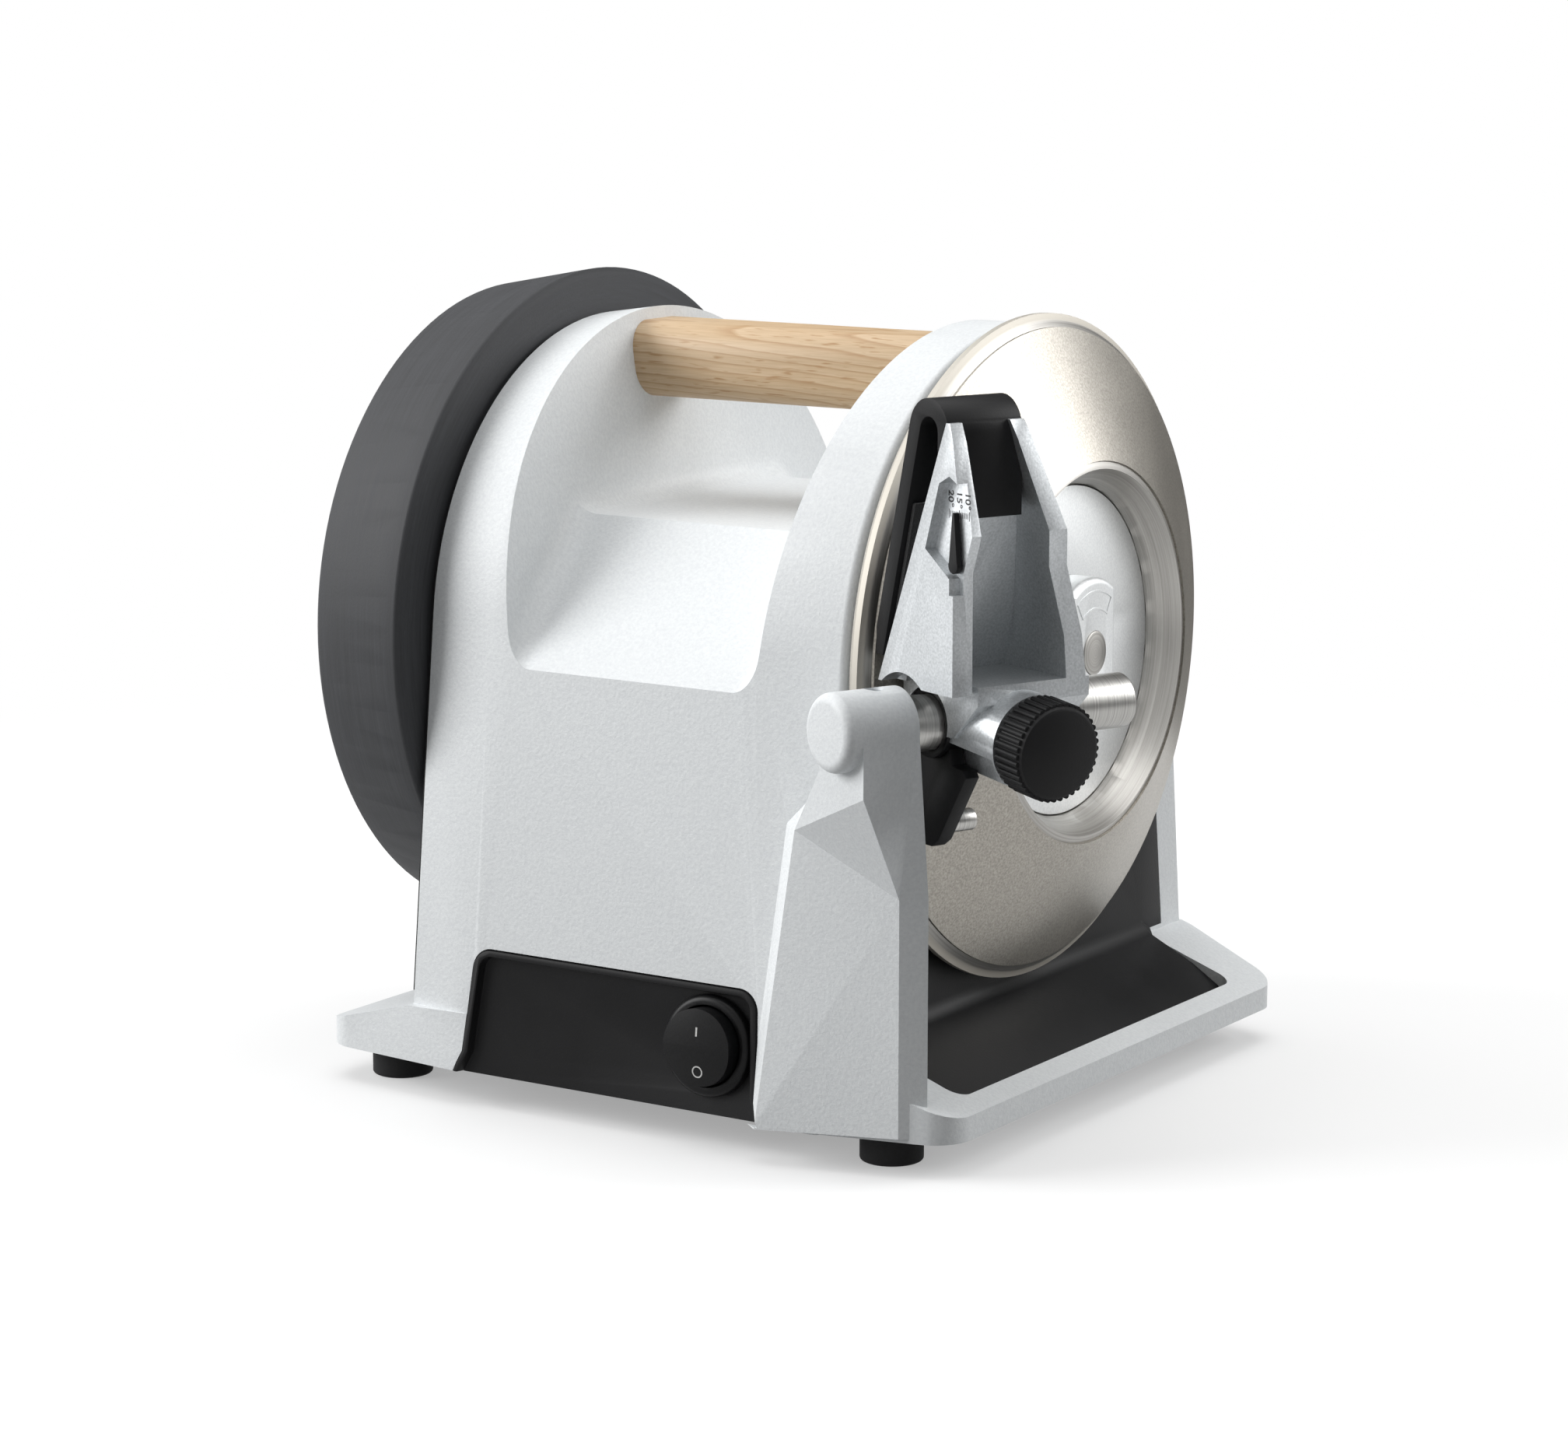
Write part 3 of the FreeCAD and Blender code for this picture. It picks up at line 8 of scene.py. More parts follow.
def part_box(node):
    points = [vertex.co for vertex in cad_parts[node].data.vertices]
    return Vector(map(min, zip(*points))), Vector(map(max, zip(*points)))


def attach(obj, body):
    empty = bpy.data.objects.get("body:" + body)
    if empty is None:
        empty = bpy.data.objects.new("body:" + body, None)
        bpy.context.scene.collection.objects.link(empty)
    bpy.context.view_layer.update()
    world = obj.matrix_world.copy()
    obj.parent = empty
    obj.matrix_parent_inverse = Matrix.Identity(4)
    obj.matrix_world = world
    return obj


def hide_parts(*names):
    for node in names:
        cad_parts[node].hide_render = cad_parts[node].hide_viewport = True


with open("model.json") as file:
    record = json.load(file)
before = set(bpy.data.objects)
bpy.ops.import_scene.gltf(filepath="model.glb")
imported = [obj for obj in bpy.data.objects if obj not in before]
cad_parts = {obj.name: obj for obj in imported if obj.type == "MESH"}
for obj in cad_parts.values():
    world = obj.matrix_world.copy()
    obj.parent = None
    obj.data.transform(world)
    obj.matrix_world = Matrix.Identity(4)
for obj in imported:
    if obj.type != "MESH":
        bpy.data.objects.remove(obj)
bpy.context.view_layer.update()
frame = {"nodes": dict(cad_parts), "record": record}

# Casting: the housing with its two arched flanges and saddle, the wide base, and the leaning
# post of the support bar. Gravity cast in aluminium, edges broken by tumbling, then powder
# coated pale grey as one piece.
WELD = 2e-6               # vertices closer than this are one
FLAT = math.radians(0.4)  # faces that meet at less than this are one
CASTING_NODES = ["housing", "base_frame", "bar_post"]


def linear(code):
    """sRGB hex to the linear colour that the shader works with."""
    out = []
    for k in (0, 2, 4):
        c = int(code[k:k + 2], 16) / 255.0
        out.append(c / 12.92 if c <= 0.04045 else ((c + 0.055) / 1.055) ** 2.4)
    return (out[0], out[1], out[2], 1.0)


def add(tree, kind, settings, links):
    """One node: capital names and numbers are sockets, the rest are its own settings."""
    made = tree.nodes.new(kind)
    for key, value in settings.items():
        if isinstance(key, int) or key[0].isupper():
            made.inputs[key].default_value = value
        elif key == "ramp":
            stops = made.color_ramp.elements
            while len(stops) < len(value):
                stops.new(1.0)
            for stop, (spot, code) in zip(stops, value):
                stop.position = spot
                stop.color = linear(code)
        else:
            setattr(made, key, value)
    for key, source in links.items():
        tree.links.new(source, made.inputs[key])
    return made


def finish(name, settings):
    """A material with its shader wired to the output, and the object's own coordinates."""
    mat = bpy.data.materials.new(name)
    mat.use_nodes = True
    tree = mat.node_tree
    tree.nodes.clear()
    shader = add(tree, "ShaderNodeBsdfPrincipled", settings, {})
    add(tree, "ShaderNodeOutputMaterial", {}, {"Surface": shader.outputs["BSDF"]})
    place = add(tree, "ShaderNodeTexCoord", {}, {}).outputs["Object"]
    return mat, tree, shader, place


def settle(obj):
    """Work the object's modifiers into a plain mesh and remove them."""
    graph = bpy.context.evaluated_depsgraph_get()
    graph.update()
    made = bpy.data.meshes.new_from_object(obj.evaluated_get(graph))
    made.name = obj.name
    obj.modifiers.clear()
    obj.data = made
    return obj


def new_piece(name, mesh):
    """An object for the mesh, in the scene."""
    piece = bpy.data.objects.new(name, mesh)
    bpy.context.scene.collection.objects.link(piece)
    return piece


def unite(obj, other):
    """Join another closed shell into this one, and drop it."""
    union = obj.modifiers.new("union", "BOOLEAN")
    union.operation = "UNION"
    union.solver = "EXACT"
    union.object = other
    settle(obj)
    bpy.data.objects.remove(other)
    return obj


def cad_copy(name, nodes):
    """Merged copy of CAD nodes of one body, joined into one skin."""
    whole = None
    for node in nodes:
        mesh = frame["nodes"][node].data.copy()
        mesh.materials.clear()
        bm = bmesh.new()
        bm.from_mesh(mesh)
        bmesh.ops.remove_doubles(bm, verts=bm.verts, dist=WELD)
        bm.to_mesh(mesh)
        bm.free()
        part = new_piece(name, mesh)
        whole = unite(whole, part) if whole else part
    whole.name = name
    if "custom_normal" in whole.data.attributes:
        whole.data.attributes.remove(whole.data.attributes["custom_normal"])
    return whole


def soften(obj, radius, corner, segments=2):
    """Break the edges sharper than corner degrees and shade smoothly between them."""
    bm = bmesh.new()
    bm.from_mesh(obj.data)
    bmesh.ops.remove_doubles(bm, verts=bm.verts, dist=WELD)
    bmesh.ops.dissolve_limit(bm, angle_limit=FLAT, verts=bm.verts, edges=bm.edges)
    bm.to_mesh(obj.data)
    bm.free()
    if radius:
        edge = obj.modifiers.new("edge", "BEVEL")
        edge.width = radius
        edge.segments = segments
        edge.limit_method = "ANGLE"
        edge.angle_limit = math.radians(corner)
        edge.use_clamp_overlap = True
        settle(obj)
    for face in obj.data.polygons:
        face.use_smooth = True
    obj.data.set_sharp_from_angle(angle=math.radians(corner))
    return obj


def dress(obj, mat, body, nodes):
    """Give a piece its finish, fix it to its body and let it stand for its CAD nodes."""
    obj.data.materials.clear()
    obj.data.materials.append(mat)
    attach(obj, body)
    if nodes:
        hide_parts(*nodes)
    return obj


# Polyester powder coat: pale cool grey, low sheen, an orange-peel skin about 0.8 mm across
# with a finer grit of 0.35 mm on it, which breaks the highlights up.
powder, tree, shader, place = finish("powder_coat_pale_grey", {"IOR": 1.5})
peel = add(tree, "ShaderNodeTexNoise", {"Scale": 1.0 / 0.0008, "Detail": 2.0, "Roughness": 0.6},
           {"Vector": place})
grit = add(tree, "ShaderNodeTexNoise", {"Scale": 1.0 / 0.00035, "Detail": 1.0}, {"Vector": place})
batch = add(tree, "ShaderNodeTexNoise", {"Scale": 1.0 / 0.04, "Detail": 3.0}, {"Vector": place})
tone = add(tree, "ShaderNodeValToRGB", {"ramp": [(0.3, "D9DCDE"), (0.7, "E3E6E7")]},
           {"Fac": peel.outputs["Fac"]})
tree.links.new(tone.outputs["Color"], shader.inputs["Base Color"])
sheen = add(tree, "ShaderNodeMapRange",
            {"From Min": 0.3, "From Max": 0.7, "To Min": 0.44, "To Max": 0.58},
            {"Value": batch.outputs["Fac"]})
tree.links.new(sheen.outputs["Result"], shader.inputs["Roughness"])
low = add(tree, "ShaderNodeBump", {"Strength": 0.5, "Distance": 0.00015},
          {"Height": peel.outputs["Fac"]})
skin = add(tree, "ShaderNodeBump", {"Strength": 0.2, "Distance": 0.00006},
           {"Height": grit.outputs["Fac"], "Normal": low.outputs["Normal"]})
tree.links.new(skin.outputs["Normal"], shader.inputs["Normal"])

casting = soften(cad_copy("casting", CASTING_NODES), 0.0009, 24.0)
dress(casting, powder, "machine", CASTING_NODES)

# Cover plate under the motor: pressed flat ABS sheet let into the casting's underside,
# held by four screws. The same satin black ABS makes the tray, guard and switch panel.
# Spark-eroded mould skin: near black, a fine grain of 0.5 mm, slightly cloudy.
abs_black, tree, shader, place = finish("abs_satin_black",
                                        {"IOR": 1.46, "Specular IOR Level": 0.18})
grain = add(tree, "ShaderNodeTexNoise", {"Scale": 1.0 / 0.0005, "Detail": 2.0}, {"Vector": place})
cloud = add(tree, "ShaderNodeTexNoise", {"Scale": 1.0 / 0.02, "Detail": 3.0}, {"Vector": place})
tone = add(tree, "ShaderNodeValToRGB", {"ramp": [(0.3, "121213"), (0.7, "1A1A1B")]},
           {"Fac": cloud.outputs["Fac"]})
tree.links.new(tone.outputs["Color"], shader.inputs["Base Color"])
sheen = add(tree, "ShaderNodeMapRange", {"To Min": 0.42, "To Max": 0.56},
            {"Value": cloud.outputs["Fac"]})
tree.links.new(sheen.outputs["Result"], shader.inputs["Roughness"])
skin = add(tree, "ShaderNodeBump", {"Strength": 0.3, "Distance": 0.00008},
           {"Height": grain.outputs["Fac"]})
tree.links.new(skin.outputs["Normal"], shader.inputs["Normal"])
cover = soften(cad_copy("cover_plate", ["bottom_plate"]), 0.0004, 35.0)
dress(cover, abs_black, "machine", ["bottom_plate"])

# Screws: zinc-plated steel, cold headed, in the plate, feet, handle and the bar's boss.
# Plating is bluish and bright, with a cloudy passivation of about 2 mm.
zinc, tree, shader, place = finish("zinc_plated_steel", {"Metallic": 1.0})
cloud = add(tree, "ShaderNodeTexNoise", {"Scale": 1.0 / 0.002, "Detail": 3.0}, {"Vector": place})
tone = add(tree, "ShaderNodeValToRGB", {"ramp": [(0.3, "A4A9AF"), (0.7, "C6C9CC")]},
           {"Fac": cloud.outputs["Fac"]})
tree.links.new(tone.outputs["Color"], shader.inputs["Base Color"])
sheen = add(tree, "ShaderNodeMapRange", {"To Min": 0.24, "To Max": 0.42},
            {"Value": cloud.outputs["Fac"]})
tree.links.new(sheen.outputs["Result"], shader.inputs["Roughness"])
for name, node in (("foot_screw_set", "foot_screws"), ("plate_screw_set", "bottom_plate_screws"),
                   ("handle_bolt_set", "handle_bolts"), ("bar_grub_screw", "bar_set_screw")):
    screws = soften(cad_copy(name, [node]), 0.0002, 35.0)
    dress(screws, zinc, "machine", [node])

# Feet: four turned rubber pads with a counterbore, screwed up into the base.
# Dull vulcanised rubber with a bloom of fine dust, 1.2 mm patches.
rubber, tree, shader, place = finish("rubber_black", {"IOR": 1.52, "Specular IOR Level": 0.25})
dust = add(tree, "ShaderNodeTexNoise", {"Scale": 1.0 / 0.0012, "Detail": 4.0}, {"Vector": place})
tone = add(tree, "ShaderNodeValToRGB", {"ramp": [(0.3, "101011"), (0.75, "1E1E1F")]},
           {"Fac": dust.outputs["Fac"]})
tree.links.new(tone.outputs["Color"], shader.inputs["Base Color"])
sheen = add(tree, "ShaderNodeMapRange", {"To Min": 0.6, "To Max": 0.85},
            {"Value": dust.outputs["Fac"]})
tree.links.new(sheen.outputs["Result"], shader.inputs["Roughness"])
skin = add(tree, "ShaderNodeBump", {"Strength": 0.3, "Distance": 0.0001},
           {"Height": dust.outputs["Fac"]})
tree.links.new(skin.outputs["Normal"], shader.inputs["Normal"])
feet = soften(cad_copy("feet", ["rubber_feet"]), 0.0003, 35.0)
dress(feet, rubber, "machine", ["rubber_feet"])

# Chip tray: ABS moulding, the wall behind the grinding wheel and the sloping floor in one,
# dropped into the base. The fold between wall and floor is rounded, as the mould needs it.
FOLD_REACH = 0.0026       # from the fold to where its rounding ends
FOLD_LONG = 0.1           # the fold is the one long hollow edge
FOLD_CORNER = math.radians(45.0)
tray = soften(cad_copy("chip_tray", ["splash_tray"]), 0.0, 20.0)
bm = bmesh.new()
bm.from_mesh(tray.data)
fold = [edge for edge in bm.edges if edge.is_manifold and not edge.is_convex
        and edge.calc_length() > FOLD_LONG and edge.calc_face_angle() > FOLD_CORNER]
bmesh.ops.bevel(bm, geom=fold, offset=FOLD_REACH, segments=6, profile=0.5, affect="EDGES",
                clamp_overlap=True)
bm.to_mesh(tray.data)
bm.free()
soften(tray, 0.0006, 20.0, 3)
dress(tray, abs_black, "machine", ["splash_tray"])

# Guard behind the honing wheel: flat ABS plate in the left flange, with a soft rubber lip
# glued round the flange's edge that keeps honing paste out.
guard = soften(cad_copy("honing_guard", ["left_guard"]), 0.0004, 35.0)
dress(guard, abs_black, "machine", ["left_guard"])

wheel_low, wheel_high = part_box("grinding_ring")
axis_y = (wheel_low.y + wheel_high.y) / 2.0
axis_z = (wheel_low.z + wheel_high.z) / 2.0
FLANGE_LOW = -0.095       # where the flange's width is measured, from the axis
LIP_FOOT = -0.079         # lower end of the lip, from the axis
LIP_OUT = 0.0009          # how far it stands out at its inner line
LIP_SLOPE = 0.6           # share of that at its outer line
LIP_OUTER, LIP_INNER = (0.0697, 0.0801), (0.0683, 0.0787)   # top radius, half width
LIP_STEPS = 72


def flange_line(radius, half):
    """Outline of the flange seen from the end: round top, straight sides down to the foot."""
    touch = math.atan2(FLANGE_LOW, half) + math.acos(radius / math.hypot(half, FLANGE_LOW))
    line = []
    for k in range(LIP_STEPS + 1):
        turn = touch + (math.pi - 2.0 * touch) * k / LIP_STEPS
        line.append((radius * math.cos(turn), radius * math.sin(turn)))
    y, z = line[0]
    share = (z - LIP_FOOT) / (z - FLANGE_LOW)
    end = (y + (half - y) * share, LIP_FOOT)
    return [end] + line + [(-end[0], LIP_FOOT)]


lip_outer = flange_line(*LIP_OUTER)
lip_inner = flange_line(*LIP_INNER)
flange_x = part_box("left_guard")[0].x
bm = bmesh.new()
rails = []
for line, x in ((lip_outer, flange_x), (lip_outer, flange_x - LIP_OUT * LIP_SLOPE),
                (lip_inner, flange_x - LIP_OUT), (lip_inner, flange_x)):
    rails.append([bm.verts.new((x, axis_y + y, axis_z + z)) for y, z in line])
for k in range(len(lip_outer) - 1):
    for a in range(4):
        b = (a + 1) % 4
        bm.faces.new((rails[a][k], rails[b][k], rails[b][k + 1], rails[a][k + 1]))
bm.faces.new([rail[0] for rail in rails])
bm.faces.new([rail[-1] for rail in rails])
bmesh.ops.recalc_face_normals(bm, faces=bm.faces)
mesh = bpy.data.meshes.new("flange_lip")
bm.to_mesh(mesh)
bm.free()
lip = soften(new_piece("flange_lip", mesh), 0.0, 35.0)
dress(lip, rubber, "machine", [])

# Switch panel: ABS moulding let into the sloping front, a raised rim round a sunk field that
# holds the switch. Held by the switch's own collar from behind.
panel = soften(cad_copy("switch_panel", ["front_panel"]), 0.0005, 30.0)
dress(panel, abs_black, "machine", ["front_panel"])

# Rocker switch: snap-in nylon body with a round bezel, and a round rocker on a cross pin.
# Moulded nylon: smoother and a little glossier than the panel, grain 0.4 mm.
nylon, tree, shader, place = finish("nylon_black", {"IOR": 1.5, "Specular IOR Level": 0.15})
grain = add(tree, "ShaderNodeTexNoise", {"Scale": 1.0 / 0.0004, "Detail": 2.0}, {"Vector": place})
tone = add(tree, "ShaderNodeValToRGB", {"ramp": [(0.3, "0E0E0F"), (0.7, "151516")]},
           {"Fac": grain.outputs["Fac"]})
tree.links.new(tone.outputs["Color"], shader.inputs["Base Color"])
sheen = add(tree, "ShaderNodeMapRange", {"To Min": 0.3, "To Max": 0.42},
            {"Value": grain.outputs["Fac"]})
tree.links.new(sheen.outputs["Result"], shader.inputs["Roughness"])
skin = add(tree, "ShaderNodeBump", {"Strength": 0.12, "Distance": 0.00005},
           {"Height": grain.outputs["Fac"]})
tree.links.new(skin.outputs["Normal"], shader.inputs["Normal"])
bezel = soften(cad_copy("switch_bezel", ["switch_case"]), 0.0003, 35.0)
dress(bezel, nylon, "machine", ["switch_case"])
rocker = soften(cad_copy("rocker", ["switch_rocker"]), 0.0005, 30.0, 3)
dress(rocker, nylon, "rocker", ["switch_rocker"])

# On and off marks: a line and a ring, pad printed in white ink on the rocker's two faces.
# The ink film is matt, with a fine mottle of 0.3 mm where it is thin.
ink_white, tree, shader, place = finish("pad_print_white", {"Roughness": 0.55, "IOR": 1.5})
mottle = add(tree, "ShaderNodeTexNoise", {"Scale": 1.0 / 0.0003}, {"Vector": place})
tone = add(tree, "ShaderNodeValToRGB", {"ramp": [(0.3, "BFBFBD"), (0.7, "DADAD8")]},
           {"Fac": mottle.outputs["Fac"]})
tree.links.new(tone.outputs["Color"], shader.inputs["Base Color"])
INK = 0.00004             # thickness of the printed film
LINE_HALF_WIDE, LINE_HALF_TALL = 0.00021, 0.001
LINE_DROP = 0.0018        # the line stands below the middle of its face
RING_OUT, RING_IN, RING_STEPS = 0.00135, 0.00105, 40
MARK_FACE = 3e-5          # the rocker's two faces are the only ones larger than this, m2


def on_face(spot, out, up):
    """Frame on a face: x to the right, y up along the face, z out of it."""
    out = out.normalized()
    right = up.cross(out).normalized()
    laid = Matrix((right, out.cross(right), out)).transposed().to_4x4()
    laid.translation = spot
    return laid


def flat_band(outer, inner, thick):
    """Flat band between two loops of equally many points, closed all round."""
    bm = bmesh.new()
    loops = []
    for line, z in ((outer, 0.0), (outer, thick), (inner, thick), (inner, 0.0)):
        loops.append([bm.verts.new((x, y, z)) for x, y in line])
    for k in range(len(outer)):
        n = (k + 1) % len(outer)
        for a in range(4):
            b = (a + 1) % 4
            bm.faces.new((loops[a][k], loops[a][n], loops[b][n], loops[b][k]))
    bmesh.ops.recalc_face_normals(bm, faces=bm.faces)
    mesh = bpy.data.meshes.new("band")
    bm.to_mesh(mesh)
    bm.free()
    return mesh


def flat_plate(line, thick):
    """Thin plate with the given outline."""
    bm = bmesh.new()
    low = [bm.verts.new((x, y, 0.0)) for x, y in line]
    high = [bm.verts.new((x, y, thick)) for x, y in line]
    bm.faces.new(low)
    bm.faces.new(high)
    for k in range(len(line)):
        n = (k + 1) % len(line)
        bm.faces.new((low[k], low[n], high[n], high[k]))
    bmesh.ops.recalc_face_normals(bm, faces=bm.faces)
    mesh = bpy.data.meshes.new("plate")
    bm.to_mesh(mesh)
    bm.free()
    return mesh


def ring_of(radius, count):
    """Points of a circle round the origin."""
    turns = [2.0 * math.pi * k / count for k in range(count)]
    return [(radius * math.cos(turn), radius * math.sin(turn)) for turn in turns]


flats = [(face.center.copy(), face.normal.copy()) for face in rocker.data.polygons
         if face.normal.y < -0.9 and face.area > MARK_FACE]
flats.sort(key=lambda flat: flat[0].z)
off_at, off_out = flats[0]
on_at, on_out = flats[-1]
line_mark = flat_plate([(-LINE_HALF_WIDE, -LINE_HALF_TALL), (LINE_HALF_WIDE, -LINE_HALF_TALL),
                        (LINE_HALF_WIDE, LINE_HALF_TALL), (-LINE_HALF_WIDE, LINE_HALF_TALL)], INK)
lowered = Matrix.Translation((0.0, -LINE_DROP, 0.0))
line_mark.transform(on_face(on_at, on_out, Vector((0.0, 0.0, 1.0))) @ lowered)
dress(new_piece("on_mark", line_mark), ink_white, "rocker", [])
ring_mark = flat_band(ring_of(RING_OUT, RING_STEPS), ring_of(RING_IN, RING_STEPS), INK)
ring_mark.transform(on_face(off_at, off_out, Vector((0.0, 0.0, 1.0))))
dress(new_piece("off_mark", ring_mark), ink_white, "rocker", [])

# Cable gland: a moulded nylon bush pressed through the back wall. Its bore is left open,
# since the photograph shows no cord.
gland = soften(cad_copy("gland", ["cable_gland"]), 0.0006, 35.0)
dress(gland, nylon, "machine", ["cable_gland"])

# Handle: a planed beech bar with rounded edges, oiled, let into both flanges.
# Annual rings 2 mm apart run almost along the bar, so they show as long arcs; short dark
# rays of 0.7 by 6 mm lie between them, and fine fibre gives the sheen.
HEART_OFF = Vector((0.0, 0.006, -0.03))     # the log's heart, from the middle of the bar
WAVE_REPEAT = 0.314       # Blender's wave of scale 1 repeats after this many metres
beech, tree, shader, place = finish("beech_oiled", {"IOR": 1.5})
handle_low, handle_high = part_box("handle")
heart = (handle_low + handle_high) / 2.0 + HEART_OFF
log = add(tree, "ShaderNodeMapping",
          {"vector_type": "TEXTURE", "Location": heart,
           "Rotation": (0.0, math.radians(3.0), math.radians(2.0))}, {"Vector": place})
long = add(tree, "ShaderNodeMapping", {"Scale": (0.1, 1.0, 1.0)}, {"Vector": place})
sway = add(tree, "ShaderNodeTexNoise", {"Scale": 1.0 / 0.009, "Detail": 2.0},
           {"Vector": long.outputs["Vector"]})
pull = add(tree, "ShaderNodeVectorMath", {"operation": "MULTIPLY_ADD", 1: (0.006, 0.006, 0.006)},
           {0: sway.outputs["Color"], 2: log.outputs["Vector"]})
rings = add(tree, "ShaderNodeTexWave",
            {"wave_type": "RINGS", "rings_direction": "X", "wave_profile": "SAW",
             "Scale": WAVE_REPEAT / 0.0021, "Distortion": 0.0}, {"Vector": pull.outputs[0]})
thread = add(tree, "ShaderNodeMapping", {"Scale": (0.05, 1.0, 1.0)}, {"Vector": place})
fibre = add(tree, "ShaderNodeTexNoise", {"Scale": 1.0 / 0.0004, "Detail": 3.0},
            {"Vector": thread.outputs["Vector"]})
fleck_map = add(tree, "ShaderNodeMapping", {"Scale": (0.12, 1.0, 1.0)}, {"Vector": place})
fleck = add(tree, "ShaderNodeTexNoise", {"Scale": 1.0 / 0.0007, "Detail": 1.0},
            {"Vector": fleck_map.outputs["Vector"]})
rays = add(tree, "ShaderNodeMapRange", {"From Min": 0.62, "From Max": 0.74},
           {"Value": fleck.outputs["Fac"]})
wood = add(tree, "ShaderNodeValToRGB",
           {"ramp": [(0.0, "D2B998"), (0.7, "CBB08D"), (0.93, "B89771"), (1.0, "CFB593")]},
           {"Fac": rings.outputs["Fac"]})
tint = add(tree, "ShaderNodeValToRGB", {"ramp": [(0.3, "E8E2DA"), (0.7, "FFFFFF")]},
           {"Fac": fibre.outputs["Fac"]})
grained = add(tree, "ShaderNodeMix", {"data_type": "RGBA", "blend_type": "MULTIPLY", "Factor": 0.8},
              {6: wood.outputs["Color"], 7: tint.outputs["Color"]})
flecked = add(tree, "ShaderNodeMix", {"data_type": "RGBA", 7: linear("AC875E")},
              {0: rays.outputs["Result"], 6: grained.outputs[2]})
tree.links.new(flecked.outputs[2], shader.inputs["Base Color"])
sheen = add(tree, "ShaderNodeMapRange", {"To Min": 0.42, "To Max": 0.6},
            {"Value": fibre.outputs["Fac"]})
tree.links.new(sheen.outputs["Result"], shader.inputs["Roughness"])
skin = add(tree, "ShaderNodeBump", {"Strength": 0.15, "Distance": 0.00008},
           {"Height": fibre.outputs["Fac"]})
tree.links.new(skin.outputs["Normal"], shader.inputs["Normal"])
handle = soften(cad_copy("handle_bar", ["handle"]), 0.0003, 35.0)
dress(handle, beech, "machine", ["handle"])

# Motor and belt drive, sealed in the housing: laminated stator and rotor, lacquered copper
# coils, cast brackets, sintered bronze bushes, a flat rubber belt on nylon pulleys.
laminated, tree, shader, place = finish("laminated_steel", {"Metallic": 1.0, "Roughness": 0.5})
sheet = add(tree, "ShaderNodeTexWave", {"bands_direction": "X", "Scale": WAVE_REPEAT / 0.0005},
            {"Vector": place})
tone = add(tree, "ShaderNodeValToRGB", {"ramp": [(0.2, "55575A"), (0.6, "85878A")]},
           {"Fac": sheet.outputs["Fac"]})
tree.links.new(tone.outputs["Color"], shader.inputs["Base Color"])
copper, tree, shader, place = finish("lacquered_copper_wire", {"Metallic": 1.0, "Roughness": 0.35})
turns = add(tree, "ShaderNodeTexWave",
            {"wave_type": "RINGS", "rings_direction": "X", "Scale": WAVE_REPEAT / 0.0006},
            {"Vector": place})
tone = add(tree, "ShaderNodeValToRGB", {"ramp": [(0.1, "6E3318"), (0.6, "C0723F")]},
           {"Fac": turns.outputs["Fac"]})
tree.links.new(tone.outputs["Color"], shader.inputs["Base Color"])
bronze, tree, shader, place = finish("sintered_bronze", {"Metallic": 1.0, "Roughness": 0.45})
pores = add(tree, "ShaderNodeTexNoise", {"Scale": 1.0 / 0.0004, "Detail": 2.0}, {"Vector": place})
tone = add(tree, "ShaderNodeValToRGB", {"ramp": [(0.3, "8C6A3C"), (0.7, "B98F57")]},
           {"Fac": pores.outputs["Fac"]})
tree.links.new(tone.outputs["Color"], shader.inputs["Base Color"])
nylon_grey, tree, shader, place = finish("nylon_grey", {"Roughness": 0.45, "IOR": 1.53})
cloud = add(tree, "ShaderNodeTexNoise", {"Scale": 1.0 / 0.003, "Detail": 3.0}, {"Vector": place})
tone = add(tree, "ShaderNodeValToRGB", {"ramp": [(0.3, "A9A9A6"), (0.7, "BDBDBA")]},
           {"Fac": cloud.outputs["Fac"]})
tree.links.new(tone.outputs["Color"], shader.inputs["Base Color"])
cast_raw, tree, shader, place = finish("aluminium_as_cast", {"Metallic": 1.0, "Roughness": 0.55})
sand = add(tree, "ShaderNodeTexNoise", {"Scale": 1.0 / 0.0008, "Detail": 3.0}, {"Vector": place})
tone = add(tree, "ShaderNodeValToRGB", {"ramp": [(0.3, "8E9092"), (0.7, "ACAEB0")]},
           {"Fac": sand.outputs["Fac"]})
tree.links.new(tone.outputs["Color"], shader.inputs["Base Color"])
for coat, inner in ((laminated, ("motor_stator", "motor_rotor")), (copper, ("motor_coils",)),
                    (bronze, ("spindle_bushes", "motor_bushes", "switch_terminals")),
                    (nylon_grey, ("motor_cradle", "run_capacitor", "terminal_block",
                                  "spindle_pulley", "motor_pulley")),
                    (cast_raw, ("motor_brackets",)), (rubber, ("drive_belt",)),
                    (zinc, ("shaft_clips", "motor_shaft"))):
    for node in inner:
        piece = frame["nodes"][node]
        if not piece.material_slots:
            piece.data.materials.append(coat)
        for fitting in piece.material_slots:
            fitting.material = coat

# Grinding wheel ring and spindle: steel turned on a lathe, so fine tool lines run round the
# axis. Lines are 0.5 mm apart, drawn coarser than the real 0.1 mm so that they show.


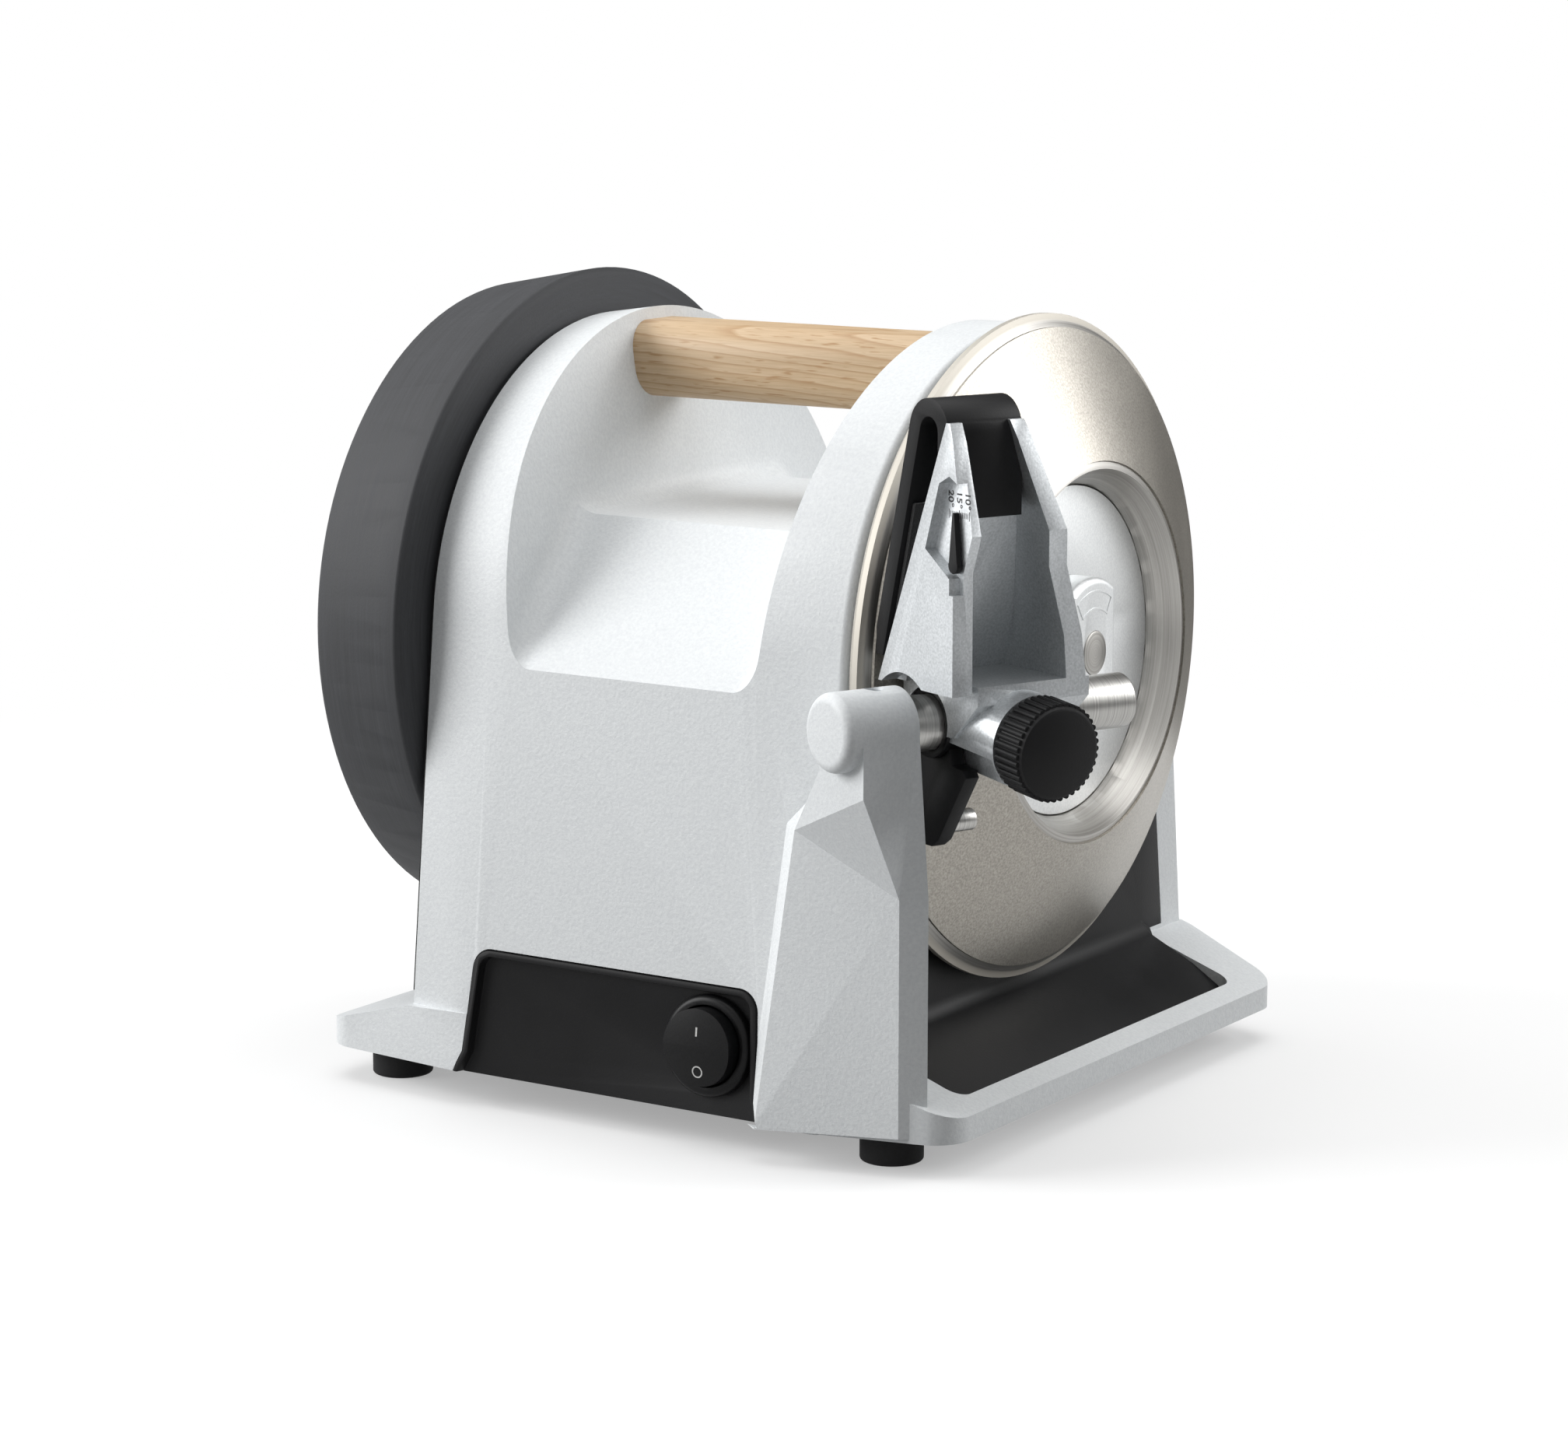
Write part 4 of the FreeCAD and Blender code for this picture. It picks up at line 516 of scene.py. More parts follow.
def lathe_lines(tree, place, apart, rough, drift):
    """Noise drawn out round the wheels' axis, and the distance from that axis."""
    centred = add(tree, "ShaderNodeMapping", {"Location": (0.0, -axis_y, -axis_z)},
                  {"Vector": place})
    split = add(tree, "ShaderNodeSeparateXYZ", {}, {"Vector": centred.outputs["Vector"]})
    across = add(tree, "ShaderNodeCombineXYZ", {},
                 {"Y": split.outputs["Y"], "Z": split.outputs["Z"]})
    out_r = add(tree, "ShaderNodeVectorMath", {"operation": "LENGTH"},
                {0: across.outputs["Vector"]})
    drift_y = add(tree, "ShaderNodeMath", {"operation": "MULTIPLY", 1: drift},
                  {0: split.outputs["Y"]})
    drift_z = add(tree, "ShaderNodeMath", {"operation": "MULTIPLY", 1: drift},
                  {0: split.outputs["Z"]})
    lathe = add(tree, "ShaderNodeCombineXYZ", {},
                {"X": split.outputs["X"], "Y": out_r.outputs["Value"], "Z": drift_y.outputs[0]})
    noise = add(tree, "ShaderNodeTexNoise",
                {"noise_dimensions": "4D", "Scale": 1.0 / apart, "Detail": 3.0, "Roughness": rough},
                {"Vector": lathe.outputs["Vector"], "W": drift_z.outputs[0]})
    return noise, out_r


steel, tree, shader, place = finish("turned_steel", {"Metallic": 1.0})
line, out_r = lathe_lines(tree, place, 0.0005, 0.7, 0.008)
tone = add(tree, "ShaderNodeValToRGB", {"ramp": [(0.3, "8F8D89"), (0.7, "B2B0AC")]},
           {"Fac": line.outputs["Fac"]})
sheen = add(tree, "ShaderNodeMapRange", {"To Min": 0.32, "To Max": 0.44},
            {"Value": line.outputs["Fac"]})
# The plating of the grinding face runs over the edge and dulls the outermost millimetre.
PLATED_FROM, PLATED_TO = 0.0732, 0.0738     # distances from the axis
rim = add(tree, "ShaderNodeMapRange", {"From Min": PLATED_FROM, "From Max": PLATED_TO},
          {"Value": out_r.outputs["Value"]})
coated = add(tree, "ShaderNodeMix", {"data_type": "RGBA", 7: linear("B0ACA4")},
             {0: rim.outputs["Result"], 6: tone.outputs["Color"]})
dulled = add(tree, "ShaderNodeMix", {"data_type": "FLOAT", 3: 0.6},
             {0: rim.outputs["Result"], 2: sheen.outputs["Result"]})
tree.links.new(coated.outputs[2], shader.inputs["Base Color"])
tree.links.new(dulled.outputs[0], shader.inputs["Roughness"])
skin = add(tree, "ShaderNodeBump", {"Strength": 0.12, "Distance": 0.00003},
           {"Height": line.outputs["Fac"]})
tree.links.new(skin.outputs["Normal"], shader.inputs["Normal"])
ring = soften(cad_copy("wheel_ring", ["grinding_ring"]), 0.0, 28.0)
dress(ring, steel, "spindle", ["grinding_ring"])
shaft = soften(cad_copy("shaft", ["spindle_shaft"]), 0.0003, 35.0)
dress(shaft, steel, "spindle", ["spindle_shaft"])

# Grinding face: diamond grit of about 0.1 mm held in electroplated nickel on the cone.
# Champagne grey and sparkling; the grit is drawn at 0.5 mm so that its speckle shows.
diamond, tree, shader, place = finish("diamond_grit_in_nickel", {"Metallic": 0.9})
speck = add(tree, "ShaderNodeTexNoise", {"Scale": 1.0 / 0.0005, "Detail": 2.0}, {"Vector": place})
plating = add(tree, "ShaderNodeTexNoise", {"Scale": 1.0 / 0.025, "Detail": 2.0}, {"Vector": place})
tone = add(tree, "ShaderNodeValToRGB", {"ramp": [(0.3, "8E8A83"), (0.7, "ADA9A1")]},
           {"Fac": speck.outputs["Fac"]})
tree.links.new(tone.outputs["Color"], shader.inputs["Base Color"])
sheen = add(tree, "ShaderNodeMapRange", {"To Min": 0.34, "To Max": 0.44},
            {"Value": plating.outputs["Fac"]})
tree.links.new(sheen.outputs["Result"], shader.inputs["Roughness"])
skin = add(tree, "ShaderNodeBump", {"Strength": 0.2, "Distance": 0.0001},
           {"Height": speck.outputs["Fac"]})
tree.links.new(skin.outputs["Normal"], shader.inputs["Normal"])
face = soften(cad_copy("grit_face", ["diamond_face"]), 0.0, 28.0)
dress(face, diamond, "spindle", ["diamond_face"])

# Wheel centre and its lock: die-cast aluminium, fine blasted and clear anodised.
# Matt silver, lighter than the guide's casting, with a fine sparkle of 0.5 mm.
anodised, tree, shader, place = finish("aluminium_clear_anodised", {"Metallic": 0.85})
bead = add(tree, "ShaderNodeTexNoise", {"Scale": 1.0 / 0.0005, "Detail": 2.0}, {"Vector": place})
cloud = add(tree, "ShaderNodeTexNoise", {"Scale": 1.0 / 0.015, "Detail": 2.0}, {"Vector": place})
tone = add(tree, "ShaderNodeValToRGB", {"ramp": [(0.3, "D2D4D5"), (0.7, "E0E2E2")]},
           {"Fac": bead.outputs["Fac"]})
tree.links.new(tone.outputs["Color"], shader.inputs["Base Color"])
sheen = add(tree, "ShaderNodeMapRange", {"To Min": 0.42, "To Max": 0.52},
            {"Value": cloud.outputs["Fac"]})
tree.links.new(sheen.outputs["Result"], shader.inputs["Roughness"])
skin = add(tree, "ShaderNodeBump", {"Strength": 0.2, "Distance": 0.00006},
           {"Height": bead.outputs["Fac"]})
tree.links.new(skin.outputs["Normal"], shader.inputs["Normal"])
disc = soften(cad_copy("wheel_centre", ["wheel_disc"]), 0.0003, 35.0)
dress(disc, anodised, "spindle", ["wheel_disc"])
lock = soften(cad_copy("wheel_lock", ["wheel_lock_knob"]), 0.0005, 35.0)
dress(lock, anodised, "wheel_lock", ["wheel_lock_knob"])

# Raised arc on the lock's face, cast in one with it: the thin edge of a grip field above the
# shaft, 4.4 mm wide and 68 degrees long. Anodised with the lock.
ARC_OUT, ARC_IN, ARC_HALF = 0.0142, 0.0098, 34.0
ARC_LINE = 0.00045        # width of the raised edge
ARC_TALL = 0.0002
ARC_SUNK = 0.00003        # let into the face, so that no gap shows
ARC_STEPS = 24


def arc_field(outer, inner, half):
    """Outline of the field: outer arc one way, inner arc back."""
    line = []
    for k in range(ARC_STEPS + 1):
        turn = math.radians(90.0 + half - 2.0 * half * k / ARC_STEPS)
        line.append((outer * math.cos(turn), outer * math.sin(turn)))
    for k in range(ARC_STEPS + 1):
        turn = math.radians(90.0 - half + 2.0 * half * k / ARC_STEPS)
        line.append((inner * math.cos(turn), inner * math.sin(turn)))
    return line


trim = math.degrees(ARC_LINE / ARC_IN)
arc = flat_band(arc_field(ARC_OUT, ARC_IN, ARC_HALF),
                arc_field(ARC_OUT - ARC_LINE, ARC_IN + ARC_LINE, ARC_HALF - trim), ARC_TALL)
lock_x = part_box("wheel_lock_knob")[1].x
arc_at = Vector((lock_x - ARC_SUNK, axis_y, axis_z))
arc.transform(on_face(arc_at, Vector((1.0, 0.0, 0.0)), Vector((0.0, 0.0, 1.0))))
arc = soften(new_piece("lock_grip_edge", arc), 0.0, 35.0)
dress(arc, anodised, "wheel_lock", [])

# Honing wheel: moulded composite rim, tapered and turned true, on a raw cast aluminium hub
# that has a lock of the same form. Dark grey and dry, with turning streaks 0.9 mm apart
# round the rim.
composite, tree, shader, place = finish("honing_composite",
                                        {"IOR": 1.5, "Specular IOR Level": 0.35})
streak, _ = lathe_lines(tree, place, 0.0009, 0.65, 0.05)
crumb = add(tree, "ShaderNodeTexNoise", {"Scale": 1.0 / 0.0006, "Detail": 2.0}, {"Vector": place})
tone = add(tree, "ShaderNodeValToRGB", {"ramp": [(0.3, "2B2C2E"), (0.7, "3A3B3E")]},
           {"Fac": streak.outputs["Fac"]})
tree.links.new(tone.outputs["Color"], shader.inputs["Base Color"])
sheen = add(tree, "ShaderNodeMapRange", {"To Min": 0.55, "To Max": 0.75},
            {"Value": streak.outputs["Fac"]})
tree.links.new(sheen.outputs["Result"], shader.inputs["Roughness"])
low = add(tree, "ShaderNodeBump", {"Strength": 0.25, "Distance": 0.0001},
          {"Height": streak.outputs["Fac"]})
skin = add(tree, "ShaderNodeBump", {"Strength": 0.25, "Distance": 0.0001},
           {"Height": crumb.outputs["Fac"], "Normal": low.outputs["Normal"]})
tree.links.new(skin.outputs["Normal"], shader.inputs["Normal"])
hone = soften(cad_copy("honing_rim", ["honing_wheel"]), 0.0005, 35.0)
dress(hone, composite, "spindle", ["honing_wheel"])
hub = soften(cad_copy("honing_centre", ["honing_hub"]), 0.0004, 35.0)
dress(hub, cast_raw, "spindle", ["honing_hub"])
lock = soften(cad_copy("honing_lock", ["honing_lock_knob"]), 0.0005, 35.0)
dress(lock, cast_raw, "honing_lock", ["honing_lock_knob"])

# Support bar: centreless ground steel rod with a turned chamfer, pressed into the boss.
# Satin silver, with faint grinding lines 0.4 mm apart round the rod.
joints = {joint["name"]: joint for joint in frame["record"]["behaviour"]["joints"]}
along = Vector(joints["guide_tilt"]["axis"])
outward = Vector((along.y, -along.x, 0.0))
upward = Vector((0.0, 0.0, 1.0))
bar_spot = Vector(joints["guide_tilt"]["pos_m"])
ground, tree, shader, place = finish("ground_steel", {"Metallic": 1.0})
down_bar = add(tree, "ShaderNodeVectorMath", {"operation": "DOT_PRODUCT", 1: along}, {0: place})
line = add(tree, "ShaderNodeTexNoise",
           {"noise_dimensions": "1D", "Scale": 1.0 / 0.0004, "Detail": 3.0},
           {"W": down_bar.outputs["Value"]})
tone = add(tree, "ShaderNodeValToRGB", {"ramp": [(0.3, "9A9996"), (0.7, "B8B7B4")]},
           {"Fac": line.outputs["Fac"]})
tree.links.new(tone.outputs["Color"], shader.inputs["Base Color"])
sheen = add(tree, "ShaderNodeMapRange", {"To Min": 0.3, "To Max": 0.4},
            {"Value": line.outputs["Fac"]})
tree.links.new(sheen.outputs["Result"], shader.inputs["Roughness"])
skin = add(tree, "ShaderNodeBump", {"Strength": 0.2, "Distance": 0.00003},
           {"Height": line.outputs["Fac"]})
tree.links.new(skin.outputs["Normal"], shader.inputs["Normal"])
bar = soften(cad_copy("guide_bar", ["support_bar"]), 0.0002, 35.0)
dress(bar, ground, "machine", ["support_bar"])

# Sleeve and angle lever: a nylon bush that slides on the bar, with a moulded lever and a
# turned steel pin that set the guide's angle.
sleeve = soften(cad_copy("sleeve", ["guide_sleeve"]), 0.0002, 35.0)
dress(sleeve, nylon, "carriage", ["guide_sleeve"])
lever = soften(cad_copy("lever", ["angle_lever"]), 0.0005, 30.0)
dress(lever, abs_black, "carriage", ["angle_lever"])
stub = soften(cad_copy("lever_stub", ["lever_pin"]), 0.0003, 35.0)
dress(stub, ground, "carriage", ["lever_pin"])

# Knife guide: one die casting of walls, web, hub and knob seat, bead blasted and left bare.
# Matt light grey metal with a sparkle of 0.5 mm and slow changes of sheen over 15 mm.
blasted, tree, shader, place = finish("aluminium_bead_blasted", {"Metallic": 0.9})
bead = add(tree, "ShaderNodeTexNoise", {"Scale": 1.0 / 0.0005, "Detail": 2.0}, {"Vector": place})
cloud = add(tree, "ShaderNodeTexNoise", {"Scale": 1.0 / 0.015, "Detail": 2.0}, {"Vector": place})
tone = add(tree, "ShaderNodeValToRGB", {"ramp": [(0.3, "ADB0B2"), (0.7, "C4C7C9")]},
           {"Fac": bead.outputs["Fac"]})
tree.links.new(tone.outputs["Color"], shader.inputs["Base Color"])
sheen = add(tree, "ShaderNodeMapRange", {"To Min": 0.38, "To Max": 0.5},
            {"Value": cloud.outputs["Fac"]})
tree.links.new(sheen.outputs["Result"], shader.inputs["Roughness"])
skin = add(tree, "ShaderNodeBump", {"Strength": 0.3, "Distance": 0.00008},
           {"Height": bead.outputs["Fac"]})
tree.links.new(skin.outputs["Normal"], shader.inputs["Normal"])
GUIDE_NODES = ["guide_body", "guide_block", "guide_hub"]
guide = soften(cad_copy("guide_casting", GUIDE_NODES), 0.0005, 24.0)
dress(guide, blasted, "guide", GUIDE_NODES)

# Angle scale on the guide's sunk field: fine lines and three numbers, pad printed dark grey.
# The ink is matt and a little uneven, 0.3 mm mottle.
ink_dark, tree, shader, place = finish("pad_print_dark_grey", {"Roughness": 0.6, "IOR": 1.5})
mottle = add(tree, "ShaderNodeTexNoise", {"Scale": 1.0 / 0.0003}, {"Vector": place})
tone = add(tree, "ShaderNodeValToRGB", {"ramp": [(0.3, "2A2A2B"), (0.7, "3C3C3D")]},
           {"Fac": mottle.outputs["Fac"]})
tree.links.new(tone.outputs["Color"], shader.inputs["Base Color"])
FIELD_S = -0.0149         # sunk field, along the bar from the middle of the guide
TICK_COUNT, TICK_STEP, TICK_WIDE, TICK_TALL = 13, 0.0006, 0.0002, 0.0012
TICK_V, TICK_Z = 0.0134, 0.0461     # first line, from the bar's axis
TYPE_SIZE, TYPE_BOLD, TYPE_Z = 0.0026, 0.00005, 0.0510
FILM_OFF = INK * 0.2      # the film stands this far off the field, so that the two don't flicker


def on_scale(v, z, turn):
    """Frame on the sunk field: v across from the bar's axis, z above it."""
    spot = bar_spot + outward * v + along * (FIELD_S - FILM_OFF) + upward * z
    return on_face(spot, -along, upward) @ Matrix.Rotation(math.radians(turn), 4, "Z")


lines = bpy.data.node_groups.new("scale_lines", "GeometryNodeTree")
lines.interface.new_socket("Geometry", in_out="OUTPUT", socket_type="NodeSocketGeometry")
sizes = {}
for label, kind in (("Lines", "NodeSocketInt"), ("Step", "NodeSocketFloat"),
                    ("Width", "NodeSocketFloat"), ("Height", "NodeSocketFloat"),
                    ("Film", "NodeSocketFloat"), ("Ink", "NodeSocketMaterial")):
    sizes[label] = lines.interface.new_socket(label, in_out="INPUT", socket_type=kind).identifier
given = add(lines, "NodeGroupInput", {}, {}).outputs
step = add(lines, "ShaderNodeCombineXYZ", {}, {"X": given["Step"]})
row = add(lines, "GeometryNodeMeshLine", {},
          {"Count": given["Lines"], "Offset": step.outputs["Vector"]})
shape = add(lines, "ShaderNodeCombineXYZ", {},
            {"X": given["Width"], "Y": given["Height"], "Z": given["Film"]})
tick = add(lines, "GeometryNodeMeshCube", {}, {"Size": shape.outputs["Vector"]})
number = add(lines, "GeometryNodeInputIndex", {}, {})
# Every sixth line is a major one, 1.6 times as tall.
sixth = add(lines, "ShaderNodeMath", {"operation": "MODULO", 1: 6.0}, {0: number.outputs["Index"]})
major = add(lines, "ShaderNodeMath", {"operation": "LESS_THAN", 1: 0.5}, {0: sixth.outputs[0]})
taller = add(lines, "ShaderNodeMath", {"operation": "MULTIPLY_ADD", 1: 0.6, 2: 1.0},
             {0: major.outputs[0]})
stretch = add(lines, "ShaderNodeCombineXYZ", {"X": 1.0, "Z": 1.0}, {"Y": taller.outputs[0]})
copies = add(lines, "GeometryNodeInstanceOnPoints", {},
             {"Points": row.outputs["Mesh"], "Instance": tick.outputs["Mesh"],
              "Scale": stretch.outputs["Vector"]})
real = add(lines, "GeometryNodeRealizeInstances", {}, {"Geometry": copies.outputs["Instances"]})
inked = add(lines, "GeometryNodeSetMaterial", {},
            {"Geometry": real.outputs["Geometry"], "Material": given["Ink"]})
add(lines, "NodeGroupOutput", {}, {"Geometry": inked.outputs["Geometry"]})
scale = new_piece("scale_lines", bpy.data.meshes.new("scale_lines"))
build = scale.modifiers.new("lines", "NODES")
build.node_group = lines
for label, value in (("Lines", TICK_COUNT), ("Step", TICK_STEP), ("Width", TICK_WIDE),
                     ("Height", TICK_TALL), ("Film", INK), ("Ink", ink_dark)):
    build[sizes[label]] = value
settle(scale)
scale.data.transform(on_scale(TICK_V, TICK_Z, 0.0))
dress(scale, ink_dark, "guide", [])

for name, words, v in (("scale_20", "20°", 0.0132), ("scale_15", "15°", 0.0162),
                       ("scale_10", "10°", 0.0192)):
    curve = bpy.data.curves.new(name, "FONT")
    curve.body = words
    curve.size = TYPE_SIZE
    curve.offset = TYPE_BOLD
    curve.extrude = INK / 2.0
    text = new_piece(name + "_type", curve)
    graph = bpy.context.evaluated_depsgraph_get()
    graph.update()
    mesh = bpy.data.meshes.new_from_object(text.evaluated_get(graph))
    bpy.data.objects.remove(text)
    mesh.transform(on_scale(v, TYPE_Z, -90.0))
    dress(new_piece(name, mesh), ink_dark, "guide", [])

# Pointer: a needle moulded in black ABS, with its own pin in the sunk field. It swings at
# twice the guide's angle, so that a small tip shows on the scale.
needle = soften(cad_copy("scale_needle", ["angle_pointer"]), 0.0001, 35.0)
dress(needle, abs_black, "pointer", ["angle_pointer"])

# Hairpin arm: a loop moulded in black ABS, pushed between the guide's two tips and held by
# a zinc-plated steel pin that the arm hides.
arm = soften(cad_copy("hairpin", ["guide_arm"]), 0.0005, 30.0)
dress(arm, abs_black, "guide", ["guide_arm"])
pin = soften(cad_copy("hairpin_pin", ["arm_pin"]), 0.0002, 35.0)
dress(pin, zinc, "guide", ["arm_pin"])

# Felt strip inside the arm: pressed wool felt, dyed black, glued in. It drinks the light and
# shows a fuzz of fibres about 0.3 mm apart.
wool, tree, shader, place = finish("wool_felt_black",
                                   {"Roughness": 1.0, "IOR": 1.4, "Sheen Weight": 0.3,
                                    "Sheen Roughness": 0.6})
fuzz = add(tree, "ShaderNodeTexNoise", {"Scale": 1.0 / 0.0003, "Detail": 4.0, "Roughness": 0.7},
           {"Vector": place})
tone = add(tree, "ShaderNodeValToRGB", {"ramp": [(0.35, "060606"), (0.7, "1B1B1C")]},
           {"Fac": fuzz.outputs["Fac"]})
tree.links.new(tone.outputs["Color"], shader.inputs["Base Color"])
skin = add(tree, "ShaderNodeBump", {"Strength": 0.9, "Distance": 0.0003},
           {"Height": fuzz.outputs["Fac"]})
tree.links.new(skin.outputs["Normal"], shader.inputs["Normal"])
felt = soften(cad_copy("felt_pad", ["felt_strip"]), 0.0003, 35.0)
dress(felt, wool, "guide", ["felt_strip"])

# Clamp knob: moulded in black ABS on a zinc-plated steel screw, with forty round ribs about
# its edge for the fingers and a flat face.
screw = soften(cad_copy("clamp_stem", ["clamp_screw"]), 0.0002, 35.0)
dress(screw, zinc, "clamp", ["clamp_screw"])
RIBS, RIB_R, RIB_RING, RIB_LONG = 40, 0.00062, 0.00997, 0.0076
RIB_SIDES, RIB_SHIFT = 12, -0.0002
KNOB_STEPS = 120
KNOB_PROFILE = [(0.0, -0.0044), (0.0092, -0.0044), (0.0099, -0.0038), (0.0099, 0.0036),
                (0.0096, 0.0043), (0.0090, 0.0046), (0.0, 0.0046)]   # radius, height
ribs = bpy.data.node_groups.new("grip_ribs", "GeometryNodeTree")
ribs.interface.new_socket("Geometry", in_out="OUTPUT", socket_type="NodeSocketGeometry")
sizes = {}
for label, kind in (("Ribs", "NodeSocketInt"), ("Ring Radius", "NodeSocketFloat"),
                    ("Rib Radius", "NodeSocketFloat"), ("Rib Length", "NodeSocketFloat"),
                    ("Plastic", "NodeSocketMaterial")):
    sizes[label] = ribs.interface.new_socket(label, in_out="INPUT", socket_type=kind).identifier
given = add(ribs, "NodeGroupInput", {}, {}).outputs
edge = add(ribs, "GeometryNodeMeshCircle", {},
           {"Vertices": given["Ribs"], "Radius": given["Ring Radius"]})
rib = add(ribs, "GeometryNodeMeshCylinder", {"Vertices": RIB_SIDES},
          {"Radius": given["Rib Radius"], "Depth": given["Rib Length"]})
copies = add(ribs, "GeometryNodeInstanceOnPoints", {},
             {"Points": edge.outputs["Mesh"], "Instance": rib.outputs["Mesh"]})
real = add(ribs, "GeometryNodeRealizeInstances", {}, {"Geometry": copies.outputs["Instances"]})
coated = add(ribs, "GeometryNodeSetMaterial", {},
             {"Geometry": real.outputs["Geometry"], "Material": given["Plastic"]})
add(ribs, "NodeGroupOutput", {}, {"Geometry": coated.outputs["Geometry"]})
edge_ribs = new_piece("edge_ribs", bpy.data.meshes.new("edge_ribs"))
build = edge_ribs.modifiers.new("ribs", "NODES")
build.node_group = ribs
for label, value in (("Ribs", RIBS), ("Ring Radius", RIB_RING), ("Rib Radius", RIB_R),
                     ("Rib Length", RIB_LONG), ("Plastic", abs_black)):
    build[sizes[label]] = value
settle(edge_ribs)
edge_ribs.data.transform(Matrix.Translation((0.0, 0.0, RIB_SHIFT)))
bm = bmesh.new()
rounds = []
for r, z in KNOB_PROFILE:
    if r == 0.0:
        rounds.append([bm.verts.new((0.0, 0.0, z))])
    else:
        rounds.append([bm.verts.new((x, y, z)) for x, y in ring_of(r, KNOB_STEPS)])
for low_ring, high_ring in zip(rounds, rounds[1:]):
    for k in range(KNOB_STEPS):
        n = (k + 1) % KNOB_STEPS
        corners = [low_ring[k % len(low_ring)], low_ring[n % len(low_ring)],
                   high_ring[n % len(high_ring)], high_ring[k % len(high_ring)]]
        bm.faces.new(list(dict.fromkeys(corners)))
bmesh.ops.recalc_face_normals(bm, faces=bm.faces)
mesh = bpy.data.meshes.new("clamp_grip")
bm.to_mesh(mesh)
bm.free()
grip = unite(new_piece("clamp_grip", mesh), edge_ribs)
clamp_axis = Vector(joints["clamp_turn"]["axis"]).normalized()
grip.data.transform(on_face(Vector(joints["clamp_turn"]["pos_m"]), clamp_axis, upward))
soften(grip, 0.0, 32.0)
dress(grip, abs_black, "clamp", ["clamp_knob"])

# Floor and light: a pale floor that runs out to white, a white surround, a large soft box on
# the left, one overhead and one behind on the right.
FLOOR_HALF = 8.0
SHADE_FROM, SHADE_TO = 0.22, 0.55   # the shadow fades out between these distances


def seen_level(tree, unseen):
    """A level of 1 where the camera or a reflection looks and lower elsewhere, and the mask."""
    ray = add(tree, "ShaderNodeLightPath", {}, {})
    shown = add(tree, "ShaderNodeMath", {"operation": "MAXIMUM"},
                {0: ray.outputs["Is Camera Ray"], 1: ray.outputs["Is Transmission Ray"]})
    shown = add(tree, "ShaderNodeMath", {"operation": "MAXIMUM"},
                {0: shown.outputs[0], 1: ray.outputs["Is Glossy Ray"]})
    level = add(tree, "ShaderNodeMapRange", {"To Min": unseen, "To Max": 1.0},
                {"Value": shown.outputs[0]})
    return level.outputs["Result"], shown.outputs[0]


mesh = bpy.data.meshes.new("floor")
mesh.from_pydata([(-FLOOR_HALF, -FLOOR_HALF, 0.0), (FLOOR_HALF, -FLOOR_HALF, 0.0),
                  (FLOOR_HALF, FLOOR_HALF, 0.0), (-FLOOR_HALF, FLOOR_HALF, 0.0)],
                 [], [(0, 1, 2, 3)])
floor = new_piece("floor", mesh)
pale = bpy.data.materials.new("floor_pale")
pale.use_nodes = True
tree = pale.node_tree
tree.nodes.clear()
place = add(tree, "ShaderNodeTexCoord", {}, {}).outputs["Object"]
level, shown = seen_level(tree, 0.2)
tint = add(tree, "ShaderNodeMix", {"data_type": "RGBA", 6: linear("8C8C8C"), 7: linear("F8F8F8")},
           {0: shown})
matt = add(tree, "ShaderNodeBsdfDiffuse", {}, {"Color": tint.outputs[2]})
glow = add(tree, "ShaderNodeEmission", {}, {"Strength": level})
far = add(tree, "ShaderNodeVectorMath", {"operation": "LENGTH"}, {0: place})
fade = add(tree, "ShaderNodeMapRange",
           {"interpolation_type": "SMOOTHSTEP", "From Min": SHADE_FROM, "From Max": SHADE_TO,
            "To Min": 0.35},
           {"Value": far.outputs["Value"]})
both = add(tree, "ShaderNodeMixShader", {},
           {0: fade.outputs["Result"], 1: matt.outputs["BSDF"], 2: glow.outputs["Emission"]})
add(tree, "ShaderNodeOutputMaterial", {}, {"Surface": both.outputs["Shader"]})
mesh.materials.append(pale)

world = bpy.data.worlds.new("studio")
bpy.context.scene.world = world
world.use_nodes = True
tree = world.node_tree
tree.nodes.clear()
level, _ = seen_level(tree, 0.22)
sky = add(tree, "ShaderNodeBackground", {"Color": (1.0, 1.0, 1.0, 1.0)}, {"Strength": level})
add(tree, "ShaderNodeOutputWorld", {}, {"Surface": sky.outputs["Background"]})

